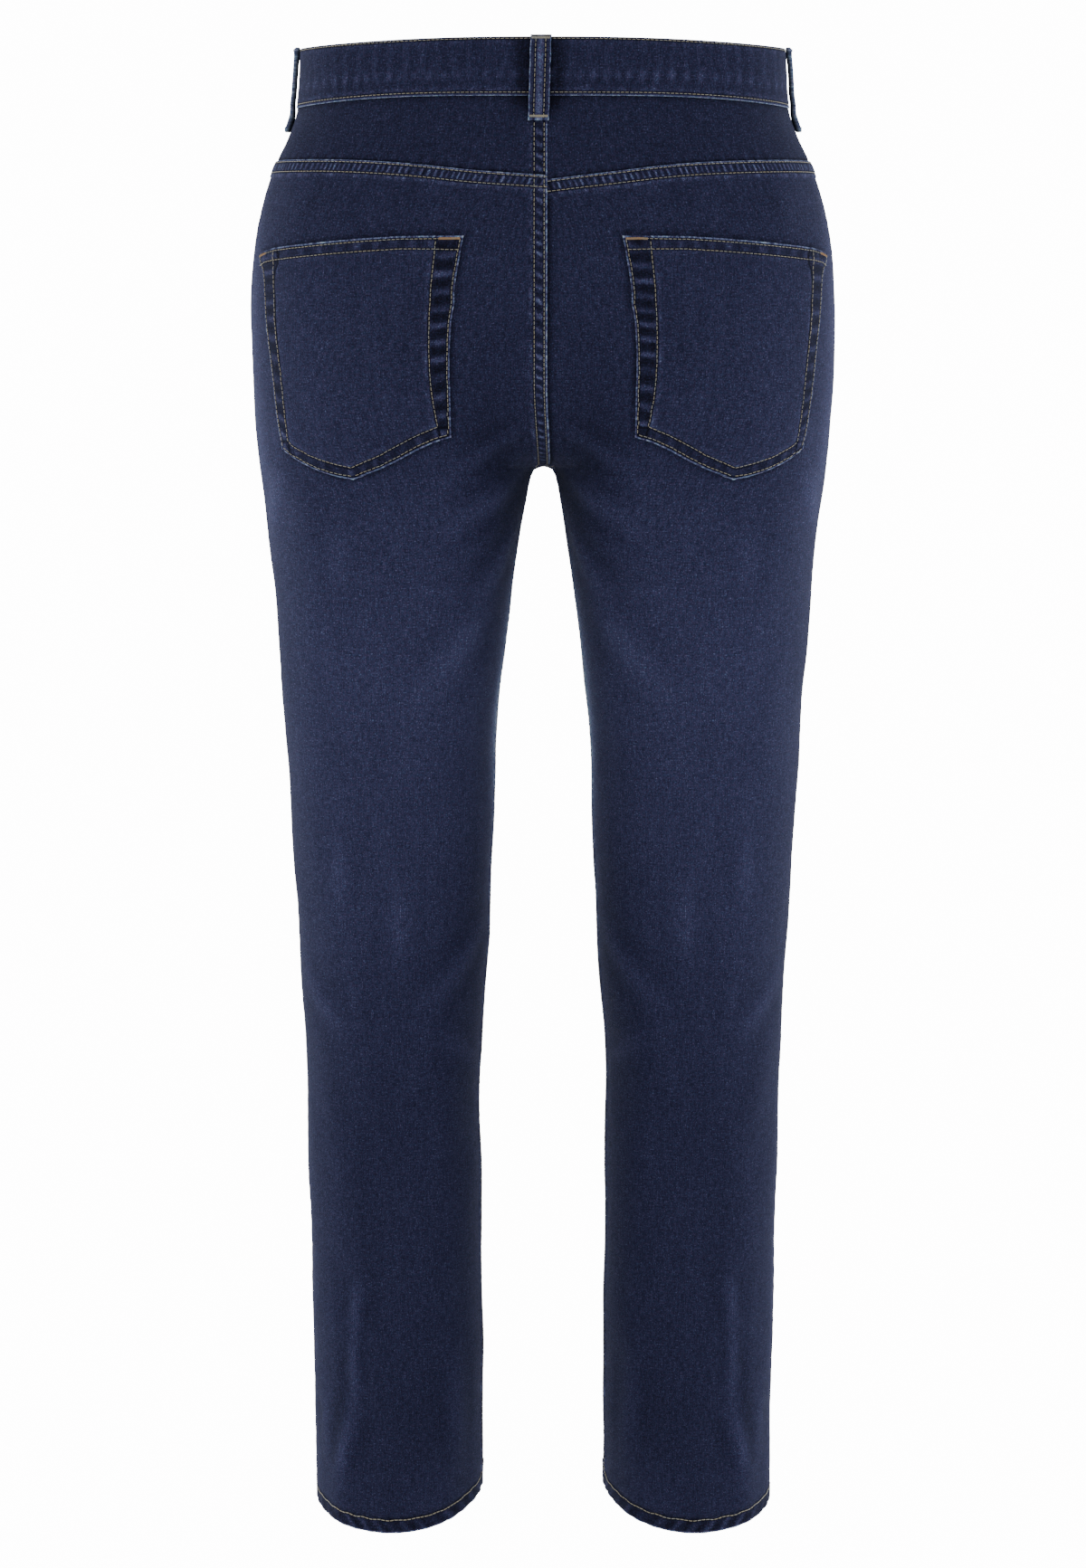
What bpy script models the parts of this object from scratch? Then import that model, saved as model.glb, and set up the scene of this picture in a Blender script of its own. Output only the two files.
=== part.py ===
"""Straight leg jeans as a hollow worn form: panels, yokes, waistband, loops, pockets, hems and fly.

Lengths in the tables and constants are millimetres, heights are from the middle of the waistband
at the centre back. +X is the wearer's left, +Y the back, +Z up. MM turns them into metres.
"""
import math

import bmesh
import bpy
import numpy as np
from mathutils import Vector

MM = 0.001
LEFT = 1.0
RIGHT = -1.0

# The body of the jeans, a level section for each row. outer: half width. front and back: depths
# before and behind the waist's middle. middle: where the side seam lies. power: 2 is an ellipse.
SECTION_COLUMNS = ("height", "outer", "front", "back", "middle", "power")
SECTIONS = (
    (-1010.0, 158.4, 61.0, 67.0, 2.0, 2.10),
    (-940.0, 158.2, 62.0, 66.0, 2.0, 2.10),
    (-860.0, 159.1, 64.0, 65.0, 1.0, 2.10),
    (-760.0, 161.1, 68.0, 63.0, -2.0, 2.10),
    (-690.0, 162.4, 73.0, 62.0, -5.0, 2.10),
    (-620.0, 165.0, 78.0, 65.0, -6.0, 2.10),
    (-560.0, 168.2, 82.0, 69.0, -6.0, 2.10),
    (-500.0, 171.4, 87.0, 75.0, -4.0, 2.12),
    (-440.0, 174.8, 92.0, 82.0, -2.0, 2.15),
    (-390.0, 177.9, 96.0, 89.0, 0.0, 2.17),
    (-340.0, 181.1, 100.0, 97.0, 3.0, 2.20),
    (-300.0, 184.7, 104.0, 105.0, 6.0, 2.22),
    (-261.0, 189.2, 108.0, 114.0, 8.0, 2.26),
    (-225.0, 192.4, 112.0, 122.0, 6.0, 2.30),
    (-190.0, 194.2, 115.0, 127.0, 3.0, 2.34),
    (-150.0, 194.6, 117.0, 127.5, 2.0, 2.38),
    (-115.0, 191.2, 116.0, 125.0, 1.0, 2.38),
    (-90.0, 186.2, 114.0, 122.0, 0.0, 2.36),
    (-70.0, 180.2, 112.0, 118.5, 0.0, 2.33),
    (-58.0, 175.4, 110.5, 116.0, 0.0, 2.30),
    (-46.0, 169.2, 108.5, 113.0, 0.0, 2.28),
    (-34.0, 164.4, 106.0, 109.5, 0.0, 2.26),
    (-20.0, 161.4, 104.0, 106.5, 0.0, 2.25),
    (0.0, 160.2, 103.0, 105.0, 0.0, 2.25),
    (30.0, 159.4, 102.0, 104.0, 0.0, 2.25),
)

# The legs' inner edge, measured from the middle plane before the crotch's rounding.
INSEAM_COLUMNS = ("height", "inner")
INSEAM = (
    (-1010.0, 40.6),
    (-940.0, 39.8),
    (-840.0, 40.4),
    (-740.0, 40.9),
    (-690.0, 41.9),
    (-640.0, 39.0),
    (-590.0, 34.6),
    (-540.0, 32.3),
    (-490.0, 29.4),
    (-440.0, 27.0),
    (-390.0, 21.6),
    (-340.0, 12.4),
    (-300.0, 6.2),
    (-285.0, 4.1),
    (-272.0, 2.6),
    (-266.5, 1.8),
    (-263.0, 1.0),
    (-261.0, 0.0),
)

# The crotch: where the legs part, how far above it the middle seams start to curve in, and the
# radius that rounds one leg into the other.
FORK = -261.0
FORK_SIDE = -282.0
RISE_CURVE = 112.0
FORK_ROUNDING = 20.0

CLOTH = 1.2
SEAM_GAP = 0.3
SIDE_TURN = 0.488

# Felled seams: the left panel laps the right one past the middle, and runs further over lower down.
FELL_WIDTH = 9.6
FELL_RAISE = 0.9
FELL_STEP = 1.3
BACK_LAP = 2.8
BACK_LAP_LOW = 5.2
BACK_LAP_FROM = -200.0
LAP_TAPER = 4.0
FRONT_LAP = 2.8
FLY_LAP = 6.0
FLY_BOTTOM = -178.0
FLY_RAISE = 1.6
FLY_STEP = 7.0
FLY_FADE = 20.0

WAISTBAND_OUT = 0.8
WAISTBAND_THICK = 2.6
WAISTBAND_PILLOW = 0.3
WAISTBAND_PAST_FRONT = 10.0
WAISTBAND_UNDERLAP = 28.0
WAISTBAND_LIFT = 3.0
WAISTBAND_LIFT_FROM = 56.0
WAISTBAND_LIFT_RUN = 25.0

HEM_HEIGHT = 10.6
HEM_OUT = 0.3
HEM_THICK = 3.0

LOOP_WIDTH = 13.4
LOOP_THICK = 1.6
LOOP_FOLD = 2.4
LOOP_STAND = 2.9
LOOP_OVER = 1.2
LOOP_BELOW = 15.8

POCKET_HEM = 9.4
POCKET_HEM_RAISE = 0.5
POCKET_HEM_STEP = 1.2

BUTTON_FROM_MIDDLE = 4.0

# Soft folds in the cloth: side is LEFT, RIGHT or 0 for both, turn goes from 0 at the front's
# middle by 0.5 at the side to 1 at the back's middle, lift is out from the leg, lean is how far
# the fold shifts in turn for each millimetre that it goes down.
FOLD_COLUMNS = ("side", "turn", "height", "half_turn", "half_height", "lift", "lean")
FOLDS = (
    (0.0, 0.640, -945.0, 0.030, 46.0, 1.9, -0.00010),
    (0.0, 0.700, -950.0, 0.028, 40.0, -1.5, -0.00010),
    (0.0, 0.900, -952.0, 0.045, 34.0, -1.6, 0.00000),
    (0.0, 0.715, -600.0, 0.050, 62.0, 1.6, 0.00020),
    (0.0, 0.830, -655.0, 0.045, 58.0, 1.5, 0.00020),
    (0.0, 0.770, -640.0, 0.060, 34.0, -1.5, 0.00030),
    (0.0, 0.930, -238.0, 0.042, 38.0, -3.2, -0.00040),
    (0.0, 0.880, -330.0, 0.060, 26.0, -2.0, -0.00060),
    (0.0, 0.860, -292.0, 0.060, 20.0, 1.4, -0.00060),
    (0.0, 0.300, -610.0, 0.080, 26.0, 1.8, 0.00030),
    (0.0, 0.240, -665.0, 0.090, 22.0, -1.6, 0.00030),
    (0.0, 0.120, -268.0, 0.060, 22.0, -1.8, 0.00080),
    (0.0, 0.330, -930.0, 0.050, 34.0, 1.6, 0.00000),
)


def columns(names, rows):
    """The table's columns as arrays by name."""
    return {name: np.array([row[i] for row in rows]) for i, name in enumerate(names)}


SECTION = columns(SECTION_COLUMNS, SECTIONS)
INSEAM_EDGE = columns(INSEAM_COLUMNS, INSEAM)
FOLD = columns(FOLD_COLUMNS, FOLDS)


def along(heights, knots, values):
    """A smooth curve through the knots, read at the heights."""
    slopes = np.gradient(values, knots)
    low = np.clip(np.searchsorted(knots, heights) - 1, 0, len(knots) - 2)
    span = knots[low + 1] - knots[low]
    t = (heights - knots[low]) / span
    blend = t * t * (3.0 - 2.0 * t)
    leave = (t**3 - 2.0 * t**2 + t) * span * slopes[low]
    arrive = (t**3 - t**2) * span * slopes[low + 1]
    return values[low] + (values[low + 1] - values[low]) * blend + leave + arrive


def ramp(x):
    """A soft step from 0 to 1 as x goes from 0 to 1."""
    x = np.clip(x, 0.0, 1.0)
    return x * x * (3.0 - 2.0 * x)


SECTION_STEPS = 120


def half_section(heights, behind):
    """Polylines of the left half section from the side to the middle, and their lengths."""
    at = {name: along(heights, SECTION["height"], SECTION[name]) for name in SECTION_COLUMNS[1:]}
    below = along(heights, INSEAM_EDGE["height"], INSEAM_EDGE["inner"])
    shut = np.clip(1.0 - (heights - FORK) / RISE_CURVE, 0.0, 1.0)
    above = -at["outer"] * (1.0 - shut) / (1.0 + shut)
    inner = np.where(heights < FORK, np.maximum(below, 0.0), above)
    half = (at["outer"] - inner) / 2.0
    centre = (at["outer"] + inner) / 2.0
    power = at["power"]
    cut = np.clip(centre / half, 0.0, 1.0)
    last = np.where(inner < 0.0, np.arccos(-(cut ** (power / 2.0))), math.pi)
    angle = last[:, None] * np.linspace(0.0, 1.0, SECTION_STEPS)
    bend = (2.0 / power)[:, None]
    cosine = np.cos(angle)
    x = centre[:, None] + half[:, None] * np.sign(cosine) * np.abs(cosine) ** bend
    x = np.maximum(x, 0.0)
    x = np.sqrt(x * x + 2.0 * FORK_ROUNDING * x * np.exp(-x / FORK_ROUNDING))
    depth = np.where(behind, at["back"] - at["middle"], -at["front"] - at["middle"])
    y = at["middle"][:, None] + depth[:, None] * np.abs(np.sin(angle)) ** bend
    step = np.hypot(np.diff(x, axis=1), np.diff(y, axis=1))
    run = np.concatenate([np.zeros((len(heights), 1)), np.cumsum(step, axis=1)], axis=1)
    return x, y, run


def half_length(heights, behind):
    """Length of the cloth from the side to the middle at each height."""
    flat = np.ravel(np.asarray(heights, dtype=float))
    run = half_section(flat, np.full(flat.shape, behind))[2]
    return run[:, -1].reshape(np.shape(heights))


def bare(turn, height):
    """Points of the left half's form without folds; past the middle it runs on to the other half."""
    turn, height = np.broadcast_arrays(turn, height)
    flat_turn = np.ravel(turn).astype(float)
    flat_height = np.ravel(height).astype(float)
    torso = flat_height >= FORK
    past = (flat_turn > 1.0) | (flat_turn < 0.0)
    mirrored = past & torso
    folded = np.where(flat_turn > 1.0, 2.0 - flat_turn, np.abs(flat_turn))
    wrapped = np.mod(flat_turn, 1.0)
    inside = np.where(past, np.where(torso, folded, wrapped), flat_turn)
    x, y, run = half_section(flat_height, inside > 0.5)
    goal = np.abs(inside - 0.5) * 2.0 * run[:, -1]
    upper = np.clip((run < goal[:, None]).sum(axis=1), 1, SECTION_STEPS - 1)
    row = np.arange(len(goal))
    span = np.maximum(run[row, upper] - run[row, upper - 1], 1e-9)
    part = ((goal - run[row, upper - 1]) / span)[:, None]
    here = np.stack([x[row, upper - 1], y[row, upper - 1]], axis=1) * (1.0 - part)
    here = here + np.stack([x[row, upper], y[row, upper]], axis=1) * part
    sign = np.where(mirrored, -1.0, 1.0)
    points = np.stack([here[:, 0] * sign, here[:, 1], flat_height], axis=1)
    return points.reshape(turn.shape + (3,))


NORMAL_TURN = 0.004
NORMAL_HEIGHT = 1.5
SADDLE_RADIUS = 8.0
SADDLE_HEIGHT = 7.0
SADDLE_FREE = 2.0
LEVEL_FROM = 0.80
LEVEL_FULL = 0.95


def outward(turn, height):
    """Unit directions out of the left half's form."""
    around = bare(turn + NORMAL_TURN, height) - bare(turn - NORMAL_TURN, height)
    up = bare(turn, height + NORMAL_HEIGHT) - bare(turn, height - NORMAL_HEIGHT)
    normal = np.cross(around, up)
    normal = normal / np.linalg.norm(normal, axis=-1, keepdims=True)
    far = 1.0 - np.exp(-(((height - FORK) / SADDLE_HEIGHT) ** 2))
    most = np.abs(bare(turn, height)[..., 0]) / SADDLE_RADIUS + SADDLE_FREE * far
    normal[..., 0] = np.clip(normal[..., 0], -most, most)
    return normal / np.linalg.norm(normal, axis=-1, keepdims=True)


def offset(turn, height):
    """Steps out of the form by one millimetre, level wherever the cloth is nearly upright."""
    normal = outward(turn, height)
    level = normal * np.array([1.0, 1.0, 0.0])
    size = np.linalg.norm(level, axis=-1, keepdims=True)
    upright = ramp((size - LEVEL_FROM) / (LEVEL_FULL - LEVEL_FROM))
    return normal + (level / np.maximum(size, LEVEL_FROM) ** 2 - normal) * upright


def fold_lift(side, turn, height):
    """How far the folds push the cloth out."""
    here = np.isin(FOLD["side"], (0.0, side))
    fold = {name: values[here] for name, values in FOLD.items()}
    turn, height = np.broadcast_arrays(turn, height)
    down = fold["height"] - height[..., None]
    across = (turn[..., None] - fold["turn"] - fold["lean"] * down) / fold["half_turn"]
    lifts = fold["lift"] * np.exp(-(across**2) - (down / fold["half_height"]) ** 2)
    return lifts.sum(axis=-1)


def skin(side, turn, height, out):
    """Points of the jeans' outer form on one side, moved out by a distance."""
    turn, height, out = np.broadcast_arrays(turn, height, out)
    move = (out + fold_lift(side, turn, height))[..., None]
    points = bare(turn, height) + offset(turn, height) * move
    return points * np.array([side, 1.0, 1.0])


# Heights of the edges and seams around the body. fullness is how soon an edge reaches its height
# at the back.
WAIST_TOP = {"back": 19.0, "side": 13.2, "front": -7.0, "fullness": 1.4}
WAIST_SEAM = {"back": -18.1, "side": -25.3, "front": -45.5, "fullness": 2.3}
HEM_EDGE = {"back": -987.7, "side": -981.0, "front": -985.0, "inner": -974.5}


def ringed(edge, turn):
    """Height of an edge that runs from the front by the side to the back."""
    swing = np.cos(np.pi * np.clip(np.abs(turn), 0.0, 1.0)) ** 2
    behind = edge["back"] + (edge["side"] - edge["back"]) * (1.0 - swing) ** edge["fullness"]
    before = edge["side"] + (edge["front"] - edge["side"]) * swing
    return np.where(turn > 0.5, behind, before)


def hem_edge(turn):
    """Height of the leg's open end, lowest at the middle of the back of the leg."""
    angle = 2.0 * np.pi * turn
    level = (HEM_EDGE["side"] + HEM_EDGE["inner"]) / 2.0
    tilt = (HEM_EDGE["inner"] - HEM_EDGE["side"]) / 2.0
    far = np.where(np.mod(turn, 1.0) > 0.5, HEM_EDGE["back"], HEM_EDGE["front"])
    return level + tilt * np.cos(angle) + (far - level) * np.sin(angle) ** 2


def hem_top(turn):
    """Height of the seam between the leg and its turned-up hem."""
    return hem_edge(turn) + HEM_HEIGHT


# The yoke seam, by its distance from the middle of the back: the two yokes meet a little unevenly.
YOKE_COLUMNS = ("from_middle", "left", "right")
YOKE_SEAM = (
    (0.0, -68.0, -71.2),
    (45.0, -64.9, -65.8),
    (90.0, -60.6, -61.0),
    (135.0, -58.6, -59.2),
    (185.0, -58.8, -59.0),
    (240.0, -60.4, -60.4),
)
YOKE = columns(YOKE_COLUMNS, YOKE_SEAM)
YOKE_LEVEL = -62.0


def yoke_seam(side, turn):
    """Height of the seam between the yoke and the back panel."""
    name = "left" if side == LEFT else "right"
    distance = (1.0 - turn) * 2.0 * half_length(YOKE_LEVEL, True)
    distance = np.clip(distance, 0.0, YOKE["from_middle"][-1])
    return along(distance, YOKE["from_middle"], YOKE[name])


# Front pocket mouth: a scoop cut out of the front panel's upper outer corner.
SCOOP_TURN = 0.265
SCOOP_DEPTH = 60.0
FACING_PAST_TURN = 0.05
FACING_PAST = 18.0
FACING_IN = 2.6


def front_top(side, turn):
    """Height of the front panel's upper edge, with the scoop of the pocket mouth."""
    past = np.clip((turn - SCOOP_TURN) / (SIDE_TURN - SCOOP_TURN), 0.0, 1.0)
    return ringed(WAIST_SEAM, turn) - SCOOP_DEPTH * np.sqrt(1.0 - (1.0 - past) ** 2)


def back_lap(height):
    """How far the left back panel laps past the middle."""
    low = ramp((BACK_LAP_FROM - height) / (BACK_LAP_FROM - FORK))
    return BACK_LAP + (BACK_LAP_LOW - BACK_LAP) * low


def front_lap(height):
    """How far the left front laps past the middle, more at the fly."""
    return FRONT_LAP + (FLY_LAP - FRONT_LAP) * ramp((height - FLY_BOTTOM) / FLY_FADE + 1.0)


def middle_edge(side, height, behind):
    """Distance from the middle to a panel's edge, less than 0 where it laps the other side."""
    lap = back_lap(height) if behind else front_lap(height)
    over = -lap if side == LEFT else lap + SEAM_GAP
    taper = ramp((height - FORK) / LAP_TAPER)
    return over * taper + SEAM_GAP / 2.0 * (1.0 - taper)


def lap_raise(side, height, from_edge, behind):
    """How far a felled seam's thickness lifts a panel near its edge at the middle or inseam."""
    fell = FELL_RAISE * ramp((FELL_WIDTH + FELL_STEP - from_edge) / FELL_STEP)
    torso = ramp((height - FORK) / LAP_TAPER)
    laps = 1.0 if side == LEFT else 0.0
    if behind:
        return fell * (laps * torso + (1.0 - torso))
    fly = FLY_RAISE * ramp((FELL_WIDTH + FLY_STEP - from_edge) / FLY_STEP)
    is_fly = ramp((height - FLY_BOTTOM) / FLY_FADE + 1.0)
    return laps * torso * (fell * (1.0 - is_fly) + fly * is_fly)


def new_material(name, color, roughness, metallic=0.0):
    """A plain Principled material."""
    material = bpy.data.materials.new(name)
    material.use_nodes = True
    shader = material.node_tree.nodes["Principled BSDF"]
    shader.inputs["Base Color"].default_value = (*color, 1.0)
    shader.inputs["Roughness"].default_value = roughness
    shader.inputs["Metallic"].default_value = metallic
    return material


def add_mesh(name, points, faces, material, collection):
    """A smooth-shaded object from points in millimetres and faces."""
    mesh = bpy.data.meshes.new(name)
    bm = bmesh.new()
    verts = [bm.verts.new(tuple(point)) for point in points * MM]
    for face in faces:
        bm.faces.new([verts[i] for i in face])
    bmesh.ops.recalc_face_normals(bm, faces=bm.faces)
    bm.to_mesh(mesh)
    bm.free()
    mesh.shade_smooth()
    mesh.materials.append(material)
    item = bpy.data.objects.new(name, mesh)
    collection.objects.link(item)
    return item


def wall(name, outer, inner, material, collection, ring=False):
    """A closed wall lofted between an outer and an inner grid of points."""
    rows, across = outer.shape[:2]
    under = rows * across
    spans = across if ring else across - 1
    faces = []
    for r in range(rows - 1):
        for c in range(spans):
            a = r * across + c
            b = r * across + (c + 1) % across
            faces.append((a, b, b + across, a + across))
            faces.append((under + a, under + a + across, under + b + across, under + b))
    for r in (0, rows - 1):
        for c in range(spans):
            a = r * across + c
            b = r * across + (c + 1) % across
            faces.append((a, b, under + b, under + a))
    if not ring:
        for c in (0, across - 1):
            for r in range(rows - 1):
                a = r * across + c
                faces.append((a, a + across, under + a + across, under + a))
    points = np.concatenate([outer.reshape(-1, 3), inner.reshape(-1, 3)])
    return add_mesh(name, points, faces, material, collection)


RISE_SAMPLES = 400


def rise_heights(top, behind, shares):
    """Heights on the middle seam, between top and the crotch, at shares of the seam's length."""
    heights = np.linspace(top, FORK, RISE_SAMPLES)
    line = bare(np.full(RISE_SAMPLES, 1.0 if behind else 0.0), heights)
    step = np.linalg.norm(np.diff(line, axis=0), axis=1)
    run = np.concatenate([[0.0], np.cumsum(step)])
    return np.interp(shares * run[-1], run, heights)


# Columns of a panel: distances from its inner edge over the felled seam, then even shares of the
# rest, closer together on the back, which carries the pockets.
EDGE_COLUMNS = np.array([0.0, 4.9, 9.6, 10.9])
BACK_SHARES = np.linspace(0.0, 1.0, 17)[1:]
FRONT_SHARES = np.linspace(0.0, 1.0, 10)[1:]
# Rows of a panel: drops below its upper edge, then shares of the seat and of the leg.
EDGE_ROWS = np.array([0.0, 4.9, 9.6, 10.9])
SEAT_SHARES = np.linspace(0.0, 1.0, 15)[1:]
LEG_SHARES = np.linspace(0.0, 1.0, 22)[1:] ** 1.55


def panel_turns(side, heights, behind):
    """Turns of a panel's columns in rows whose inner ends lie at the heights, and edge distances."""
    length = half_length(heights, behind)[:, None]
    start = middle_edge(side, heights, behind)[:, None]
    near = (start + EDGE_COLUMNS[None, :]) / length * 0.5
    end = 1.0 - SIDE_TURN if behind else SIDE_TURN
    end = end - SEAM_GAP / 4.0 / length
    shares = BACK_SHARES if behind else FRONT_SHARES
    turn = np.concatenate([near, near[:, -1:] + (end - near[:, -1:]) * shares], axis=1)
    from_edge = turn * 2.0 * length - start
    return (1.0 - turn if behind else turn), from_edge


def panel_grid(side, behind, upper):
    """Turns, heights, distances from the inner edge and drops below the upper edge of a panel."""
    middle_turn = np.array(1.0 if behind else 0.0)
    first = float(upper(side, middle_turn)) - EDGE_ROWS[-1]
    other = float(upper(-side, middle_turn)) - EDGE_ROWS[-1]
    rise = rise_heights(min(first, other), behind, SEAT_SHARES)
    leg_end = float(hem_top(middle_turn)) + SEAM_GAP
    inner = np.concatenate([first + EDGE_ROWS[-1] - EDGE_ROWS, rise, FORK + (leg_end - FORK) * LEG_SHARES])
    turn, from_edge = panel_turns(side, inner, behind)
    to_middle = ramp(np.abs(turn - 0.5) * 2.0)
    top = upper(side, turn) - SEAM_GAP / 2.0
    crotch = FORK_SIDE + (FORK - FORK_SIDE) * to_middle
    heights = np.zeros_like(turn)
    edge_count = len(EDGE_ROWS)
    leg_start = edge_count + len(SEAT_SHARES)
    heights[:edge_count] = top[:edge_count] - EDGE_ROWS[:, None]
    seat = slice(edge_count, leg_start)
    even = SEAT_SHARES[:, None]
    curved = ((first - rise) / (first - FORK))[:, None]
    share = even + (curved - even) * to_middle[seat]
    begin = top[seat] - EDGE_ROWS[-1]
    heights[seat] = begin + (crotch[seat] - begin) * share
    end = hem_top(turn[leg_start:]) + SEAM_GAP
    heights[leg_start:] = crotch[leg_start:] + (end - crotch[leg_start:]) * LEG_SHARES[:, None]
    return turn, heights, from_edge, top - heights


def add_panel(name, side, behind, material, collection):
    """A back or front panel, from the yoke or waistband to the hem."""
    upper = yoke_seam if behind else front_top
    turn, heights, from_edge, drop = panel_grid(side, behind, upper)
    raised = lap_raise(side, heights, from_edge, behind)
    if behind:
        band = FELL_RAISE * ramp((FELL_WIDTH + FELL_STEP - drop) / FELL_STEP)
        raised = np.maximum(raised, band)
    fly = 0.0 if behind or side == RIGHT else np.maximum(raised - FELL_RAISE, 0.0)
    outer = skin(side, turn, heights, raised)
    inner = skin(side, turn, heights, fly - CLOTH)
    return wall(name, outer, inner, material, collection)


YOKE_ROWS = np.linspace(0.0, 1.0, 5)


def add_yoke(name, side, material, collection):
    """A back yoke, between the waistband and the felled seam."""
    seam = float(yoke_seam(side, np.array(1.0)))
    inner_heights = WAIST_SEAM["back"] + (seam - WAIST_SEAM["back"]) * YOKE_ROWS
    turn, from_edge = panel_turns(side, inner_heights, True)
    top = ringed(WAIST_SEAM, turn) - SEAM_GAP / 2.0
    bottom = yoke_seam(side, turn) + SEAM_GAP / 2.0
    heights = top + (bottom - top) * YOKE_ROWS[:, None]
    raised = lap_raise(side, heights, from_edge, True)
    outer = skin(side, turn, heights, raised)
    inner = skin(side, turn, heights, -CLOTH)
    return wall(name, outer, inner, material, collection)


WAISTBAND_ROWS = np.array([0.0, 0.05, 0.5, 0.95, 1.0])
WAISTBAND_EDGE_DROP = 0.5
WAISTBAND_STEP = 0.0245


def add_waistband(material, collection):
    """The waistband, one strip whose left end lies over its right end at the front."""
    length = float(half_length(WAIST_SEAM["front"] / 2.0, False))
    left_end = -WAISTBAND_PAST_FRONT / length / 2.0
    right_end = -WAISTBAND_UNDERLAP / length / 2.0
    left = np.linspace(left_end, 1.0, int(round((1.0 - left_end) / WAISTBAND_STEP)))
    right = np.linspace(1.0, right_end, int(round((1.0 - right_end) / WAISTBAND_STEP)))[1:]
    from_front = left * 2.0 * length
    lift = WAISTBAND_LIFT * ramp((WAISTBAND_LIFT_FROM - from_front) / WAISTBAND_LIFT_RUN)
    share = WAISTBAND_ROWS[:, None]
    pillow = WAISTBAND_PILLOW * (1.0 - (2.0 * share - 1.0) ** 2)
    edge = WAISTBAND_EDGE_DROP * ((share == 0.0) | (share == 1.0))
    outer = []
    inner = []
    for side, turn, raised in ((LEFT, left, lift), (RIGHT, right, np.zeros_like(right))):
        low = ringed(WAIST_SEAM, turn) + SEAM_GAP / 2.0
        heights = low + (ringed(WAIST_TOP, turn) - low) * share
        out = WAISTBAND_OUT + raised[None, :] + pillow - edge
        outer.append(skin(side, turn[None, :], heights, out))
        back_of = WAISTBAND_OUT - WAISTBAND_THICK + raised[None, :] + edge
        inner.append(skin(side, turn[None, :], heights, back_of))
    outer = np.concatenate(outer, axis=1)
    inner = np.concatenate(inner, axis=1)
    return wall("waistband", outer, inner, material, collection)


# A belt loop's path from its lower end to its top: height as a share of the way up, then the
# distances of its back and its face from the cloth.
LOOP_COLUMNS = ("share", "back", "face")
LOOP_PATH = (
    (0.00, 1.3, 2.6),
    (0.03, 1.2, 1.2 + LOOP_FOLD),
    (0.14, 1.2, 1.2 + LOOP_FOLD),
    (0.22, 1.6, 1.7 + LOOP_THICK),
    (0.34, LOOP_STAND, LOOP_STAND + LOOP_THICK),
    (0.56, LOOP_STAND, LOOP_STAND + LOOP_THICK),
    (0.80, LOOP_STAND - 0.4, LOOP_STAND + LOOP_THICK - 0.4),
    (0.90, 1.5, 1.5 + LOOP_FOLD),
    (0.98, 1.5, 1.5 + LOOP_FOLD),
    (1.00, 1.6, 1.3 + LOOP_THICK),
)
LOOP = columns(LOOP_COLUMNS, LOOP_PATH)
LOOP_ACROSS = np.array([-0.5, -0.44, -0.15, 0.15, 0.44, 0.5])
LOOP_EDGE_THIN = 0.35
# Where the loops sit. shift: how far towards the front of the turn. lean: how much further at the
# top than at the lower end.
LOOP_PLACE_COLUMNS = ("name", "side", "turn", "shift", "lean")
LOOP_PLACES = (
    ("belt_loop_back", LEFT, 1.0, 2.1, -1.6),
    ("belt_loop_side_left", LEFT, 0.5, 0.0, -1.0),
    ("belt_loop_side_right", RIGHT, 0.5, 0.0, -1.0),
    ("belt_loop_front_left", LEFT, 0.215, 0.0, -1.0),
    ("belt_loop_front_right", RIGHT, 0.215, 0.0, -1.0),
)


def add_loop(place, material, collection):
    """A belt loop, folded under at both ends and standing off the waistband between them."""
    side = place["side"]
    turn = place["turn"]
    top = float(ringed(WAIST_TOP, np.array(turn))) + LOOP_OVER
    low = float(ringed(WAIST_SEAM, np.array(turn))) - LOOP_BELOW
    height = (low + (top - low) * LOOP["share"])[:, None]
    length = half_length(height, turn > 0.5)
    lean = place["lean"] * (LOOP["share"][:, None] - 0.5)
    across = LOOP_WIDTH * LOOP_ACROSS[None, :] + place["shift"] + lean
    turns = turn - across / length / 2.0
    thin = LOOP_EDGE_THIN * (np.abs(LOOP_ACROSS) == 0.5)[None, :]
    outer = skin(side, turns, height, LOOP["face"][:, None] - thin)
    inner = skin(side, turns, height, LOOP["back"][:, None] + thin)
    return wall(place["name"], outer, inner, material, collection)


# A back pocket's sides from its mouth down, and its five corners' heights.
POCKET_COLUMNS = ("share", "inner_turn", "inner_height", "outer_turn", "outer_height")
POCKET_SIDES = (
    (0.00, 0.902, -106.3, 0.580, -120.4),
    (0.25, 0.894, -137.0, 0.602, -147.0),
    (0.50, 0.889, -168.0, 0.622, -179.0),
    (0.75, 0.886, -203.0, 0.634, -214.0),
    (1.00, 0.876, -236.0, 0.638, -246.0),
)
POCKET = columns(POCKET_COLUMNS, POCKET_SIDES)
POCKET_MOUTH_BOW = 4.2
POCKET_POINT_SHARE = 0.718
POCKET_POINT_DROP = 20.3
POCKET_TO_POINT = np.linspace(0.0, POCKET_POINT_SHARE, 8)
POCKET_PAST_POINT = np.linspace(POCKET_POINT_SHARE, 1.0, 5)[1:]
POCKET_ACROSS = np.concatenate([POCKET_TO_POINT, POCKET_PAST_POINT])
POCKET_DOWN = np.array([0.0, 0.036, 0.069, 0.078, 0.16, 0.27, 0.39, 0.51, 0.63, 0.75, 0.86, 0.94, 1.0])
POCKET_OFF = 0.75
POCKET_EDGE_THIN = 0.3


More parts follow.
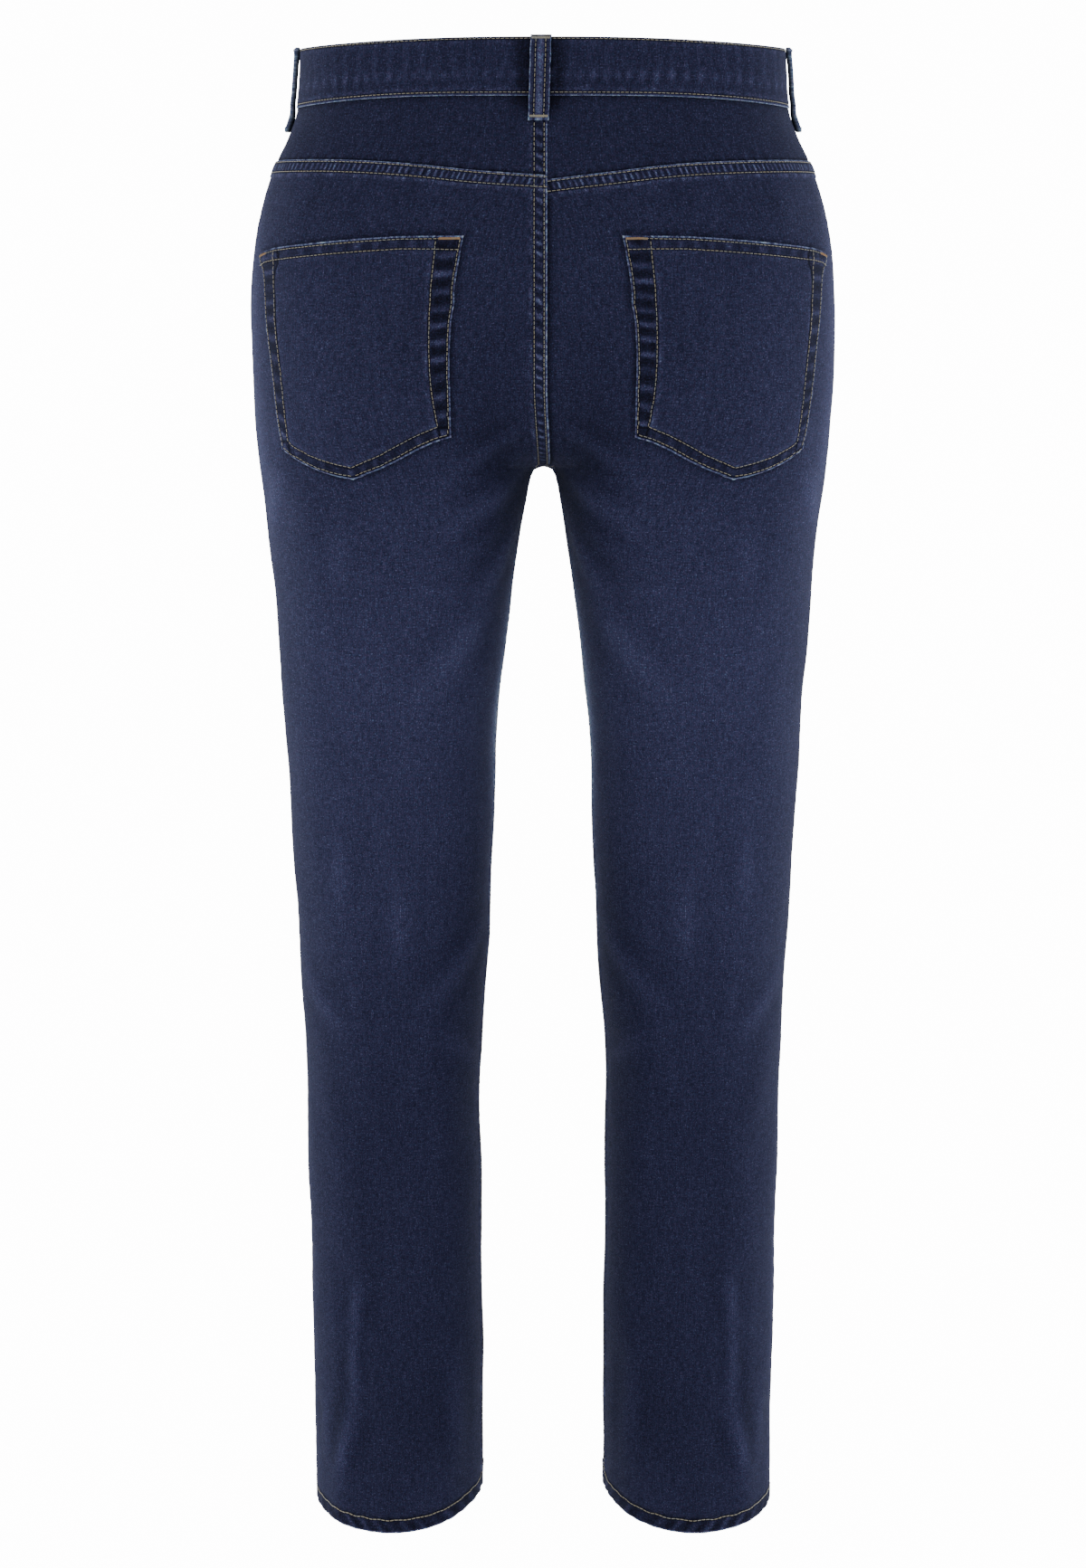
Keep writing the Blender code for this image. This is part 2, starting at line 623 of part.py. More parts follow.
def add_pocket(name, side, material, collection):
    """A five-sided patch pocket on the back panel, with a hem along its mouth."""
    down = POCKET_DOWN[:, None]
    across = POCKET_ACROSS[None, :]
    inner_turn = along(down, POCKET["share"], POCKET["inner_turn"])
    outer_turn = along(down, POCKET["share"], POCKET["outer_turn"])
    turn = inner_turn + (outer_turn - inner_turn) * across
    inner_height = along(down, POCKET["share"], POCKET["inner_height"])
    outer_height = along(down, POCKET["share"], POCKET["outer_height"])
    height = inner_height + (outer_height - inner_height) * across
    height = height + POCKET_MOUTH_BOW * (1.0 - (2.0 * across - 1.0) ** 4) * (1.0 - down) ** 2
    rising = across / POCKET_POINT_SHARE
    falling = (1.0 - across) / (1.0 - POCKET_POINT_SHARE)
    height = height - POCKET_POINT_DROP * np.minimum(rising, falling) * down**1.6
    drop = (inner_height[0, 0] - inner_height) + 0.0 * across
    hem = POCKET_HEM_RAISE * ramp((POCKET_HEM + POCKET_HEM_STEP - drop) / POCKET_HEM_STEP)
    rim = (down == 0.0) | (down == 1.0) | (across == 0.0) | (across == 1.0)
    outer = skin(side, turn, height, POCKET_OFF + CLOTH + hem - POCKET_EDGE_THIN * rim)
    inner = skin(side, turn, height, POCKET_OFF)
    return wall(name, outer, inner, material, collection)


FACING_ACROSS = np.linspace(0.0, 1.0, 10)
FACING_DOWN = np.linspace(0.0, 1.0, 7)
FACING_LEVEL = -46.0


def add_facing(name, side, material, collection):
    """The denim facing behind a front pocket's mouth."""
    start = SCOOP_TURN - FACING_PAST_TURN
    end = SIDE_TURN - SEAM_GAP / 4.0 / float(half_length(FACING_LEVEL, False))
    turn = (start + (end - start) * FACING_ACROSS)[None, :] + 0.0 * FACING_DOWN[:, None]
    top = ringed(WAIST_SEAM, turn) - SEAM_GAP / 2.0
    bottom = front_top(side, turn) - FACING_PAST
    height = top + (bottom - top) * FACING_DOWN[:, None]
    outer = skin(side, turn, height, -FACING_IN)
    inner = skin(side, turn, height, -FACING_IN - CLOTH)
    return wall(name, outer, inner, material, collection)


HEM_AROUND = 44
HEM_ROWS = np.array([0.0, 0.08, 1.0])
HEM_EDGE_THIN = 0.45


def add_hem(name, side, material, collection):
    """The turned-up hem, a ring at the end of the leg."""
    turn = (np.arange(HEM_AROUND) / HEM_AROUND)[None, :]
    share = HEM_ROWS[:, None]
    height = hem_edge(turn) + HEM_HEIGHT * share
    thin = HEM_EDGE_THIN * (share == 0.0)
    outer = skin(side, turn, height, HEM_OUT - thin)
    inner = skin(side, turn, height, HEM_OUT - HEM_THICK + thin)
    return wall(name, outer, inner, material, collection, ring=True)


# Strips behind the fly: distances from the middle to their two edges, depths behind the cloth's
# face of their two sides, and the heights of their ends.
STRIP_COLUMNS = ("left_edge", "right_edge", "face", "back", "top_below_seam", "bottom")
FLY_STRIPS = {
    "zip": dict(zip(STRIP_COLUMNS, (11.0, -13.0, -1.9, -2.7, 1.0, -172.0))),
    "fly_shield": dict(zip(STRIP_COLUMNS, (14.0, -34.0, -3.1, -4.3, 1.0, -178.0))),
}
STRIP_ROWS = np.linspace(0.0, 1.0, 8)
STRIP_ACROSS = 7


def add_strip(name, material, collection):
    """A flat strip behind the fly, measured to the wearer's left of the middle."""
    strip = FLY_STRIPS[name]
    top = WAIST_SEAM["front"] - strip["top_below_seam"]
    height = (top + (strip["bottom"] - top) * STRIP_ROWS)[:, None]
    length = half_length(height, False)
    reach = np.linspace(strip["right_edge"], strip["left_edge"], STRIP_ACROSS)
    turn = reach[None, :] / length / 2.0
    outer = skin(LEFT, turn, height, strip["face"])
    inner = skin(LEFT, turn, height, strip["back"])
    return wall(name, outer, inner, material, collection)


# Half outline of the button from its shank's foot to the middle of its face: radius and height.
BUTTON_PROFILE = (
    (0.0, 0.0),
    (3.2, 0.0),
    (3.2, 1.6),
    (7.6, 1.6),
    (8.5, 2.2),
    (8.5, 3.2),
    (7.7, 3.9),
    (6.6, 3.9),
    (6.0, 3.3),
    (2.0, 3.3),
    (0.0, 3.5),
)
BUTTON_STEPS = 28
BUTTON_SEAT = 0.6


def add_button(material, collection):
    """The waistband's turned metal button."""
    bm = bmesh.new()
    ring = [bm.verts.new((radius * MM, 0.0, level * MM)) for radius, level in BUTTON_PROFILE]
    for a, b in zip(ring, ring[1:]):
        bm.edges.new((a, b))
    mesh = bpy.data.meshes.new("button")
    bm.to_mesh(mesh)
    bm.free()
    mesh.materials.append(material)
    item = bpy.data.objects.new("button", mesh)
    collection.objects.link(item)
    screw = item.modifiers.new("turned", "SCREW")
    screw.steps = BUTTON_STEPS
    screw.render_steps = BUTTON_STEPS
    screw.use_merge_vertices = True
    screw.merge_threshold = 0.01 * MM
    screw.use_normal_calculate = True
    middle = (ringed(WAIST_TOP, np.array(0.0)) + ringed(WAIST_SEAM, np.array(0.0))) / 2.0
    turn = np.array(BUTTON_FROM_MIDDLE / float(half_length(middle, False)) / 2.0)
    out = WAISTBAND_OUT + WAISTBAND_LIFT + WAISTBAND_PILLOW + BUTTON_SEAT
    place = skin(LEFT, turn, middle, out)
    axis = outward(turn, middle)
    item.location = tuple(place * MM)
    item.rotation_mode = "QUATERNION"
    item.rotation_quaternion = Vector(axis).to_track_quat("Z", "Y")
    return item


DENIM = (0.021, 0.026, 0.050)
DENIM_DARK = (0.016, 0.020, 0.040)
BRASS = (0.42, 0.27, 0.12)
ZIP_TAPE = (0.03, 0.03, 0.035)


def clear_scene():
    """Remove what the file holds."""
    for item in list(bpy.data.objects):
        bpy.data.objects.remove(item, do_unlink=True)


def main():
    """Build every piece of the jeans."""
    clear_scene()
    collection = bpy.data.collections.new("straight_leg_jeans")
    bpy.context.scene.collection.children.link(collection)

    def cloth(name, color=DENIM):
        return new_material(name + "_denim", color, 0.85)

    for side, word in ((LEFT, "left"), (RIGHT, "right")):
        add_panel("back_" + word, side, True, cloth("back_" + word), collection)
        add_panel("front_" + word, side, False, cloth("front_" + word), collection)
        add_yoke("yoke_" + word, side, cloth("yoke_" + word), collection)
        add_pocket("back_pocket_" + word, side, cloth("back_pocket_" + word), collection)
        add_facing("pocket_facing_" + word, side, cloth("pocket_facing_" + word), collection)
        add_hem("hem_" + word, side, cloth("hem_" + word, DENIM_DARK), collection)
    add_waistband(cloth("waistband", DENIM_DARK), collection)
    for row in LOOP_PLACES:
        place = dict(zip(LOOP_PLACE_COLUMNS, row))
        add_loop(place, cloth(place["name"]), collection)
    add_strip("fly_shield", cloth("fly_shield"), collection)
    add_strip("zip", new_material("zip_tape", ZIP_TAPE, 0.7), collection)
    add_button(new_material("button_brass", BRASS, 0.4, 1.0), collection)


if __name__ == "__main__":
    main()
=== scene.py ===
"""Looks of the straight leg jeans: thin cloth shells, topstitching, washed denim and the studio.

Lengths in tables and fields are millimetres, heights are from the middle of the waistband at the
centre back. +X is the wearer's left, +Y the back, +Z up. A turn is a place around one half of the
jeans: 0 at the front's middle or inseam, 0.5 at the side and 1 at the back's middle or inseam.
"""
import logging
import math
from dataclasses import dataclass, field
from enum import Enum
from functools import reduce
from typing import ClassVar, Sequence

import bpy
import numpy as np
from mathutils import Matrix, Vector
from mathutils.bvhtree import BVHTree

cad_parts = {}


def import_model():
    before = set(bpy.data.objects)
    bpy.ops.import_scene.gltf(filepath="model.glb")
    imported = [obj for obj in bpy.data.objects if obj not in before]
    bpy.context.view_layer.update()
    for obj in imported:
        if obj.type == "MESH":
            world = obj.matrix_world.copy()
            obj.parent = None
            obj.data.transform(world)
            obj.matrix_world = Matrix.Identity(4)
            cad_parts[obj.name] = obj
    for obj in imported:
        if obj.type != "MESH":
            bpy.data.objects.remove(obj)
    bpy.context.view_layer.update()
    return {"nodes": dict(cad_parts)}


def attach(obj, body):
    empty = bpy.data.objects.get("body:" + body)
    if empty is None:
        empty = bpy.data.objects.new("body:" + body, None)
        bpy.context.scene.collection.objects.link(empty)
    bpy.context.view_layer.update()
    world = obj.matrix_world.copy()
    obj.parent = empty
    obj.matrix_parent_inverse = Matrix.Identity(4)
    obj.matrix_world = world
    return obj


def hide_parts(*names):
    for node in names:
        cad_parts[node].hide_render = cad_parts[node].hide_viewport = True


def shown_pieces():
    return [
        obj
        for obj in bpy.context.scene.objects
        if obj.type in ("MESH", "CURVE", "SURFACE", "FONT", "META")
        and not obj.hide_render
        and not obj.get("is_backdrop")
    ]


LOG = logging.getLogger("jeans")
Array = np.ndarray
Values = Array | float
Color = tuple[float, float, float]
Material = bpy.types.Material
Socket = bpy.types.NodeSocket

MM = 0.001


class Side(float, Enum):
    """A half of the jeans, by the sign of its x."""

    LEFT = 1.0
    RIGHT = -1.0

    @property
    def word(self) -> str:
        """Name the half as the nodes do."""
        return self.name.lower()


LEFT, RIGHT = Side.LEFT, Side.RIGHT

# ---- the form's tables and constants


def columns(names: Sequence[str], rows: Sequence[Sequence[float]]) -> dict[str, Array]:
    """Turn a table's rows into an array for each column's name."""
    return {name: np.array([row[i] for row in rows], dtype=float) for i, name in enumerate(names)}


SECTION = columns(("height", "outer", "front", "back", "middle", "power"), (
    (-1010, 158.4, 61, 67, 2, 2.1),
    (-940, 158.2, 62, 66, 2, 2.1),
    (-860, 159.1, 64, 65, 1, 2.1),
    (-760, 161.1, 68, 63, -2, 2.1),
    (-690, 162.4, 73, 62, -5, 2.1),
    (-620, 165, 78, 65, -6, 2.1),
    (-560, 168.2, 82, 69, -6, 2.1),
    (-500, 171.4, 87, 75, -4, 2.12),
    (-440, 174.8, 92, 82, -2, 2.15),
    (-390, 177.9, 96, 89, 0, 2.17),
    (-340, 181.1, 100, 97, 3, 2.2),
    (-300, 184.7, 104, 105, 6, 2.22),
    (-261, 189.2, 108, 114, 8, 2.26),
    (-225, 192.4, 112, 122, 6, 2.3),
    (-190, 194.2, 115, 127, 3, 2.34),
    (-150, 194.6, 117, 127.5, 2, 2.38),
    (-115, 191.2, 116, 125, 1, 2.38),
    (-90, 186.2, 114, 122, 0, 2.36),
    (-70, 180.2, 112, 118.5, 0, 2.33),
    (-58, 175.4, 110.5, 116, 0, 2.3),
    (-46, 169.2, 108.5, 113, 0, 2.28),
    (-34, 164.4, 106, 109.5, 0, 2.26),
    (-20, 161.4, 104, 106.5, 0, 2.25),
    (0, 160.2, 103, 105, 0, 2.25),
    (30, 159.4, 102, 104, 0, 2.25),
))
INSEAM_EDGE = columns(("height", "inner"), (
    (-1010, 40.6), (-940, 39.8), (-840, 40.4), (-740, 40.9), (-690, 41.9), (-640, 39),
    (-590, 34.6), (-540, 32.3), (-490, 29.4), (-440, 27), (-390, 21.6), (-340, 12.4),
    (-300, 6.2), (-285, 4.1), (-272, 2.6), (-266.5, 1.8), (-263, 1), (-261, 0),
))
YOKE = columns(("from_middle", "left", "right"), (
    (0, -68, -71.2),
    (45, -64.9, -65.8),
    (90, -60.6, -61),
    (135, -58.6, -59.2),
    (185, -58.8, -59),
    (240, -60.4, -60.4),
))
# A back pocket's edges and its second rows of stitches, by distance from the side and height.
POCKET_EDGES = {
    "mouth": np.array([
        (206, -106.2), (188, -106.3), (164, -106.7), (140, -108.2), (115, -110.4),
        (85, -113.3), (67, -115.2), (55, -117.4), (45.8, -119.8),
    ]),
    "inner": np.array([
        (206, -106.2), (206, -120), (205.3, -140), (206.2, -158), (207.4, -172),
        (208, -186), (207.6, -203), (206.1, -215), (204.3, -226.6), (203, -234.8),
    ]),
    "bottom": np.array([
        (203, -234.8), (191.5, -238), (178.9, -243.2), (165.6, -249.8), (152.8, -255.4),
        (139, -260.4), (133, -262.8), (122.2, -261), (110, -257.8), (96.4, -253),
        (89, -249.8), (79.6, -244.8),
    ]),
    "outer": np.array([
        (45.8, -119.8), (49.5, -125.5), (54.6, -130.6), (57.6, -137), (60.4, -149), (64.6, -160.6),
        (69.7, -174.4), (74, -188.8), (76.6, -203.2), (77.8, -218), (78.7, -232.4), (79.6, -244.8),
    ]),
}
POCKET_ROWS = {
    "mouth": np.array([
        (204.6, -114.9), (189.5, -114.6), (166, -114.7), (142, -116.3), (116, -118.4),
        (87, -121.2), (68.6, -123.2), (57.2, -125), (50.6, -127.4),
    ]),
    "inner": np.array([
        (188.6, -109.4), (189.6, -120), (190, -140), (190.8, -153), (193.4, -170),
        (194.9, -186), (195.3, -203), (195.5, -217.8), (195.7, -228),
    ]),
    "bottom": np.array([
        (195.7, -228), (181.2, -233.6), (168.2, -239.8), (155, -246.4), (142.4, -251.4),
        (133.4, -255.2), (117.9, -251.6), (105.2, -248), (91.5, -242.6), (87.9, -240),
    ]),
    "outer": np.array([
        (67.2, -117.6), (68.6, -123), (71.3, -136.2), (73.3, -148), (76.5, -159.4), (80.2, -171),
        (83.6, -182.6), (86.3, -194), (87.6, -205.6), (87.9, -217.2), (88, -229), (87.9, -240),
    ]),
}
# From the mouth's inner corner around: which way each edge runs, for rows shifted into the pocket.
POCKET_INWARD = {"mouth": 1.0, "inner": -1.0, "bottom": -1.0, "outer": 1.0}
# Soft folds that the cloth shares with the frame.
FOLD = columns(("turn", "height", "half_turn", "half_height", "lift", "lean"), (
    (0.64, -945, 0.03, 46, 1.9, -0.0001),
    (0.7, -950, 0.028, 40, -1.5, -0.0001),
    (0.9, -952, 0.045, 34, -1.6, 0),
    (0.715, -600, 0.05, 62, 1.6, 0.0002),
    (0.83, -655, 0.045, 58, 1.5, 0.0002),
    (0.77, -640, 0.06, 34, -1.5, 0.0003),
    (0.93, -238, 0.042, 38, -3.2, -0.0004),
    (0.88, -330, 0.06, 26, -2, -0.0006),
    (0.86, -292, 0.06, 20, 1.4, -0.0006),
    (0.3, -610, 0.08, 26, 1.8, 0.0003),
    (0.24, -665, 0.09, 22, -1.6, 0.0003),
    (0.12, -268, 0.06, 22, -1.8, 0.0008),
    (0.33, -930, 0.05, 34, 1.6, 0),
))

FORK = -261.0
FORK_SIDE = -282.0
RISE_CURVE = 112.0
FORK_ROUNDING = 20.0
SIDE_TURN = 0.488
# The shells' cut edges run a little into each other, so that no light shows between them.
SEAM_GAP = -0.2
CLOTH = 0.95

FELL_WIDTH = 9.6
FELL_RAISE = 0.9
FELL_STEP = 1.3
BACK_LAP = 2.8
BACK_LAP_LOW = 5.2
BACK_LAP_FROM = -200.0
LAP_TAPER = 4.0
FRONT_LAP = 2.8
FLY_LAP = 6.0
FLY_BOTTOM = -178.0
FLY_RAISE = 1.6
FLY_TUCK = 3.0
FLY_STEP = 7.0
FLY_FADE = 20.0
YOKE_LEVEL = -62.0

WAIST_TOP = {"back": 19.0, "side": 13.2, "front": -7.0, "fullness": 1.4}
WAIST_SEAM = {"back": -18.1, "side": -25.3, "front": -45.5, "fullness": 2.3}
HEM_EDGE = {"back": -987.7, "side": -981.0, "front": -985.0, "inner": -974.5}
HEM_HEIGHT = 10.6
HEM_DRAWN_UP = 8.0
HEM_DRAWN_RUN = 9.0
# Where the legs are measured around for the hem.
HEM_LEVEL = -980.0

SCOOP_TURN = 0.265
SCOOP_DEPTH = 60.0
SECTION_STEPS = 120

# Where the waistband's left end starts to lift over its right end, from the front's middle.
LIFT_FROM = 56.0
LIFT_RUN = 25.0

# The two needles of every double row of topstitching, and where the first one runs.
NEEDLES = 6.35
FIRST_ROW = 2.1
# Farther from an edge than anything that its sewing does.
FAR = 500.0


def ramp(x: Array) -> Array:
    """Step softly: 0 below 0, 1 above 1 and a smooth rise between."""
    x = np.clip(x, 0.0, 1.0)
    return x * x * (3.0 - 2.0 * x)


def bell(x: Array, width: float) -> Array:
    """Fall smoothly from 1 at 0 to nearly nothing at twice the width."""
    return np.exp(-((x / width) ** 2))


def crests(wave: Array) -> Array:
    """Keep what a wave has above 0, up to 1."""
    return np.clip(wave, 0.0, 1.0)


def running(line: Array) -> Array:
    """Measure how far along a polyline each of its points is."""
    return np.concatenate([[0.0], np.cumsum(np.linalg.norm(np.diff(line, axis=0), axis=1))])


def along(at: Array, knots: Array, values: Array) -> Array:
    """Read a smooth curve, made of cubic pieces with the slopes that its neighbours give.

    Args:
        at: where to read it.
        knots: the rising places of its points.
        values: the curve's values there.

    Returns:
        The curve's values.
    """
    slopes = np.gradient(values, knots)
    low = np.clip(np.searchsorted(knots, at) - 1, 0, len(knots) - 2)
    span = knots[low + 1] - knots[low]
    t = (at - knots[low]) / span
    blend = t * t * (3.0 - 2.0 * t)
    leave = (t**3 - 2.0 * t**2 + t) * span * slopes[low]
    arrive = (t**3 - t**2) * span * slopes[low + 1]
    return values[low] + (values[low + 1] - values[low]) * blend + leave + arrive


def half_section(heights: Array, behind: bool) -> tuple[Array, Array, Array]:
    """Lay out level half sections of the left half, from the side to the middle.

    Args:
        heights: the sections' heights.
        behind: whether the back half is wanted.

    Returns:
        The polylines' x, their y, and their running lengths.
    """
    at = {name: along(heights, SECTION["height"], values) for name, values in SECTION.items()}
    below = along(heights, INSEAM_EDGE["height"], INSEAM_EDGE["inner"])
    shut = np.clip(1.0 - (heights - FORK) / RISE_CURVE, 0.0, 1.0)
    above = -at["outer"] * (1.0 - shut) / (1.0 + shut)
    inner = np.where(heights < FORK, np.maximum(below, 0.0), above)
    half = (at["outer"] - inner) / 2.0
    centre = (at["outer"] + inner) / 2.0
    cut = np.clip(centre / half, 0.0, 1.0)
    last = np.where(inner < 0.0, np.arccos(-(cut ** (at["power"] / 2.0))), math.pi)
    angle = last[:, None] * np.linspace(0.0, 1.0, SECTION_STEPS)
    bend = (2.0 / at["power"])[:, None]
    cosine = np.cos(angle)
    x = centre[:, None] + half[:, None] * np.sign(cosine) * np.abs(cosine) ** bend
    x = np.maximum(x, 0.0)
    x = np.sqrt(x * x + 2.0 * FORK_ROUNDING * x * np.exp(-x / FORK_ROUNDING))
    depth = (at["back"] if behind else -at["front"]) - at["middle"]
    y = at["middle"][:, None] + depth[:, None] * np.abs(np.sin(angle)) ** bend
    step = np.hypot(np.diff(x, axis=1), np.diff(y, axis=1))
    return x, y, np.concatenate([np.zeros((len(heights), 1)), np.cumsum(step, axis=1)], axis=1)


def half_length(heights: Values, behind: bool) -> Array:
    """Measure the cloth from the side to the middle, over the back or the front, at some heights."""
    flat = np.ravel(np.asarray(heights, dtype=float))
    return half_section(flat, behind)[2][:, -1].reshape(np.shape(heights))


RING_HEIGHTS = np.arange(-300.0, 24.5, 0.5)
RING_LENGTHS = half_length(RING_HEIGHTS, True)


def from_side(turn: Array, height: Array) -> Array:
    """Measure the cloth from the side towards the middle over the back, above the fork."""
    return (turn - 0.5) * 2.0 * np.interp(height, RING_HEIGHTS, RING_LENGTHS)


def turn_at(distance: Array, height: Array) -> Array:
    """Turn distances from the side over the back into turns."""
    return 0.5 + distance / 2.0 / np.interp(height, RING_HEIGHTS, RING_LENGTHS)


def read_line(line: Array, at: Array, by: int) -> Array:
    """Read one coordinate of a plane line where the other, number by, has some values."""
    order = np.argsort(line[:, by])
    return np.interp(at, line[order, by], line[order, 1 - by])


@dataclass
class Block:
    """A dense table of the form's points and outward steps over turns and heights."""

    heights: Array
    turns: Array
    points: Array
    steps: Array

    def read(self, turn: Array, height: Array) -> tuple[Array, Array]:
        """Interpolate the table between its four nearest entries.

        Args:
            turn: flat turns.
            height: flat heights.

        Returns:
            The points and the steps there.
        """
        row = np.clip(np.searchsorted(self.heights, height) - 1, 0, len(self.heights) - 2)
        high = (height - self.heights[row]) / (self.heights[row + 1] - self.heights[row])
        high = np.clip(high, 0.0, 1.0)[:, None]
        last = len(self.turns) - 1.001
        place = np.clip((turn - self.turns[0]) / (self.turns[1] - self.turns[0]), 0.0, last)
        column = place.astype(int)
        wide = (place - column)[:, None]
        found = []
        for table in (self.points, self.steps):
            low, up = (table[r, column] * (1.0 - wide) + table[r, column + 1] * wide for r in (row, row + 1))
            found.append(low * (1.0 - high) + up * high)
        return found[0], found[1]


class Form:
    """The outer form of the jeans' left half, looked up by turn and height."""

    turn_step = 0.004
    height_step = 1.5
    saddle_radius = 8.0
    saddle_height = 7.0
    saddle_free = 2.0
    level_from = 0.80
    level_full = 0.95

    def __init__(self) -> None:
        """Tabulate the legs below the fork and the body above it."""
        legs = np.concatenate([np.arange(-1000.0, -330.0, 3.0), np.arange(-330.0, FORK - 0.5, 0.7)])
        legs = np.append(legs, FORK - 0.001)
        body = np.append(np.arange(FORK, 24.0, 1.0), 24.0)
        self.legs = self._tabulate(legs, np.linspace(-0.07, 1.07, 761))
        self.body = self._tabulate(body, np.linspace(-0.14, 1.14, 1025))

    @staticmethod
    def _rings(heights: Array, turns: Array) -> Array:
        """Find points of level sections, which run on past the middle on the other half above the fork.

        Args:
            heights: the sections' heights.
            turns: the turns in each section.

        Returns:
            Points by height and turn.
        """
        past = (turns > 1.0) | (turns < 0.0)
        folded = np.where(turns > 1.0, 2.0 - turns, np.abs(turns))
        points = np.empty((len(heights), len(turns), 3))
        points[..., 2] = heights[:, None]
        halves = [half_section(heights, behind) for behind in (False, True)]
        for r, height in enumerate(heights):
            torso = height >= FORK
            inside = folded if torso else np.mod(turns, 1.0)
            sign = np.where(past & torso, -1.0, 1.0)
            for behind, (x, y, run) in enumerate(halves):
                here = (inside > 0.5) == bool(behind)
                goal = np.abs(inside[here] - 0.5) * 2.0 * run[r, -1]
                points[r, here, 0] = np.interp(goal, run[r], x[r]) * sign[here]
                points[r, here, 1] = np.interp(goal, run[r], y[r])
        return points

    def _tabulate(self, heights: Array, turns: Array) -> Block:
        """Compute a block, with the steps level wherever the cloth is nearly upright.

        A step is the unit normal, the cross product of the differences around and up. Near the fork
        its x is kept small, so that the two legs' cloth meets in the middle.

        Args:
            heights: the block's heights.
            turns: the block's turns.

        Returns:
            The block.
        """
        points = self._rings(heights, turns)
        around = self._rings(heights, turns + self.turn_step) - self._rings(heights, turns - self.turn_step)
        up = self._rings(heights + self.height_step, turns) - self._rings(heights - self.height_step, turns)
        normal = np.cross(around, up)
        normal = normal / np.linalg.norm(normal, axis=-1, keepdims=True)
        far = 1.0 - bell(heights - FORK, self.saddle_height)
        most = np.abs(points[..., 0]) / self.saddle_radius + self.saddle_free * far[:, None]
        normal[..., 0] = np.clip(normal[..., 0], -most, most)
        normal = normal / np.linalg.norm(normal, axis=-1, keepdims=True)
        level = normal * np.array([1.0, 1.0, 0.0])
        size = np.linalg.norm(level, axis=-1, keepdims=True)
        upright = ramp((size - self.level_from) / (self.level_full - self.level_from))
        steps = normal + (level / np.maximum(size, self.level_from) ** 2 - normal) * upright
        return Block(heights, turns, points, steps)

    def read(self, turn: Array, height: Array) -> tuple[Array, Array]:
        """Look up the form.

        Args:
            turn: turns.
            height: heights that broadcast with them.

        Returns:
            The points and the outward steps of one millimetre.
        """
        turn, height = np.broadcast_arrays(turn, height)
        shape = turn.shape + (3,)
        turn, height = np.ravel(turn).astype(float), np.ravel(height).astype(float)
        points, steps = np.empty((len(turn), 3)), np.empty((len(turn), 3))
        low = height < FORK
        for block, here in ((self.legs, low), (self.body, ~low)):
            if here.any():
                points[here], steps[here] = block.read(turn[here], height[here])
        return points.reshape(shape), steps.reshape(shape)

    def skin(self, side: Side, turn: Array, height: Array, out: Values) -> Array:
        """Find points of the worn cloth: the form's, moved out by a distance and by the folds."""
        (points, steps), move = self.read(turn, height), np.asarray(out + fold_lift(turn, height))[..., None]
        return (points + steps * move) * np.array([side, 1.0, 1.0])


def fold_lift(turn: Array, height: Array) -> Array:
    """Add up the soft folds: each is its lift times a bell across and a bell down.

    Args:
        turn: turns.
        height: heights.

    Returns:
        How far the folds push the cloth out.
    """
    turn, height = np.broadcast_arrays(turn, height)
    down = FOLD["height"] - height[..., None]
    across = (turn[..., None] - FOLD["turn"] - FOLD["lean"] * down) / FOLD["half_turn"]
    lifts = FOLD["lift"] * np.exp(-(across**2) - (down / FOLD["half_height"]) ** 2)
    return lifts.sum(axis=-1)


# ---- edges and seams


def ringed(edge: dict[str, float], turn: Array) -> Array:
    """Find the height of an edge that runs around the body, by a cosine between its four heights.

    Args:
        edge: its heights at the front, side and back, and its fullness.
        turn: turns.

    Returns:
        Heights.
    """
    swing = np.cos(np.pi * np.clip(np.abs(turn), 0.0, 1.0)) ** 2
    behind = edge["back"] + (edge["side"] - edge["back"]) * (1.0 - swing) ** edge["fullness"]
    before = edge["side"] + (edge["front"] - edge["side"]) * swing
    return np.where(np.asarray(turn) > 0.5, behind, before)


def hem_edge(turn: Array) -> Array:
    """Find the height of the leg's open end: a tilted ring, lower or higher at the front and back.

    Args:
        turn: turns.

    Returns:
        Heights.
    """
    angle = 2.0 * np.pi * turn
    level = (HEM_EDGE["side"] + HEM_EDGE["inner"]) / 2.0
    tilt = (HEM_EDGE["inner"] - HEM_EDGE["side"]) / 2.0
    far = np.where(np.mod(turn, 1.0) > 0.5, HEM_EDGE["back"], HEM_EDGE["front"])
    return level + tilt * np.cos(angle) + (far - level) * np.sin(angle) ** 2


def hem_top(turn: Array) -> Array:
    """Find how high the turned-up end reaches, which is higher where it crosses the inside leg seam."""
    crossing = np.minimum(np.abs(turn), np.abs(1.0 - turn)) * 2.0 * float(half_length(HEM_LEVEL, True))
    return hem_edge(turn) + HEM_HEIGHT + HEM_DRAWN_UP * bell(crossing, HEM_DRAWN_RUN)


def yoke_seam(side: float, turn: Array) -> Array:
    """Find the height of the seam under a yoke, by the distance from the centre back."""
    distance = np.clip((1.0 - turn) * 2.0 * half_length(YOKE_LEVEL, True), 0.0, YOKE["from_middle"][-1])
    return along(distance, YOKE["from_middle"], YOKE[Side(side).word])


def front_top(turn: Array) -> Array:
    """Find the height of a front panel's upper edge, with the pocket's scoop, a quarter ellipse."""
    past = np.clip((turn - SCOOP_TURN) / (SIDE_TURN - SCOOP_TURN), 0.0, 1.0)
    return ringed(WAIST_SEAM, turn) - SCOOP_DEPTH * np.sqrt(1.0 - (1.0 - past) ** 2)


def in_fly(height: Array) -> Array:
    """Say how much of the fly a height has: 1 above its bottom, 0 below, with a soft step."""
    return ramp((height - FLY_BOTTOM) / FLY_FADE + 1.0)


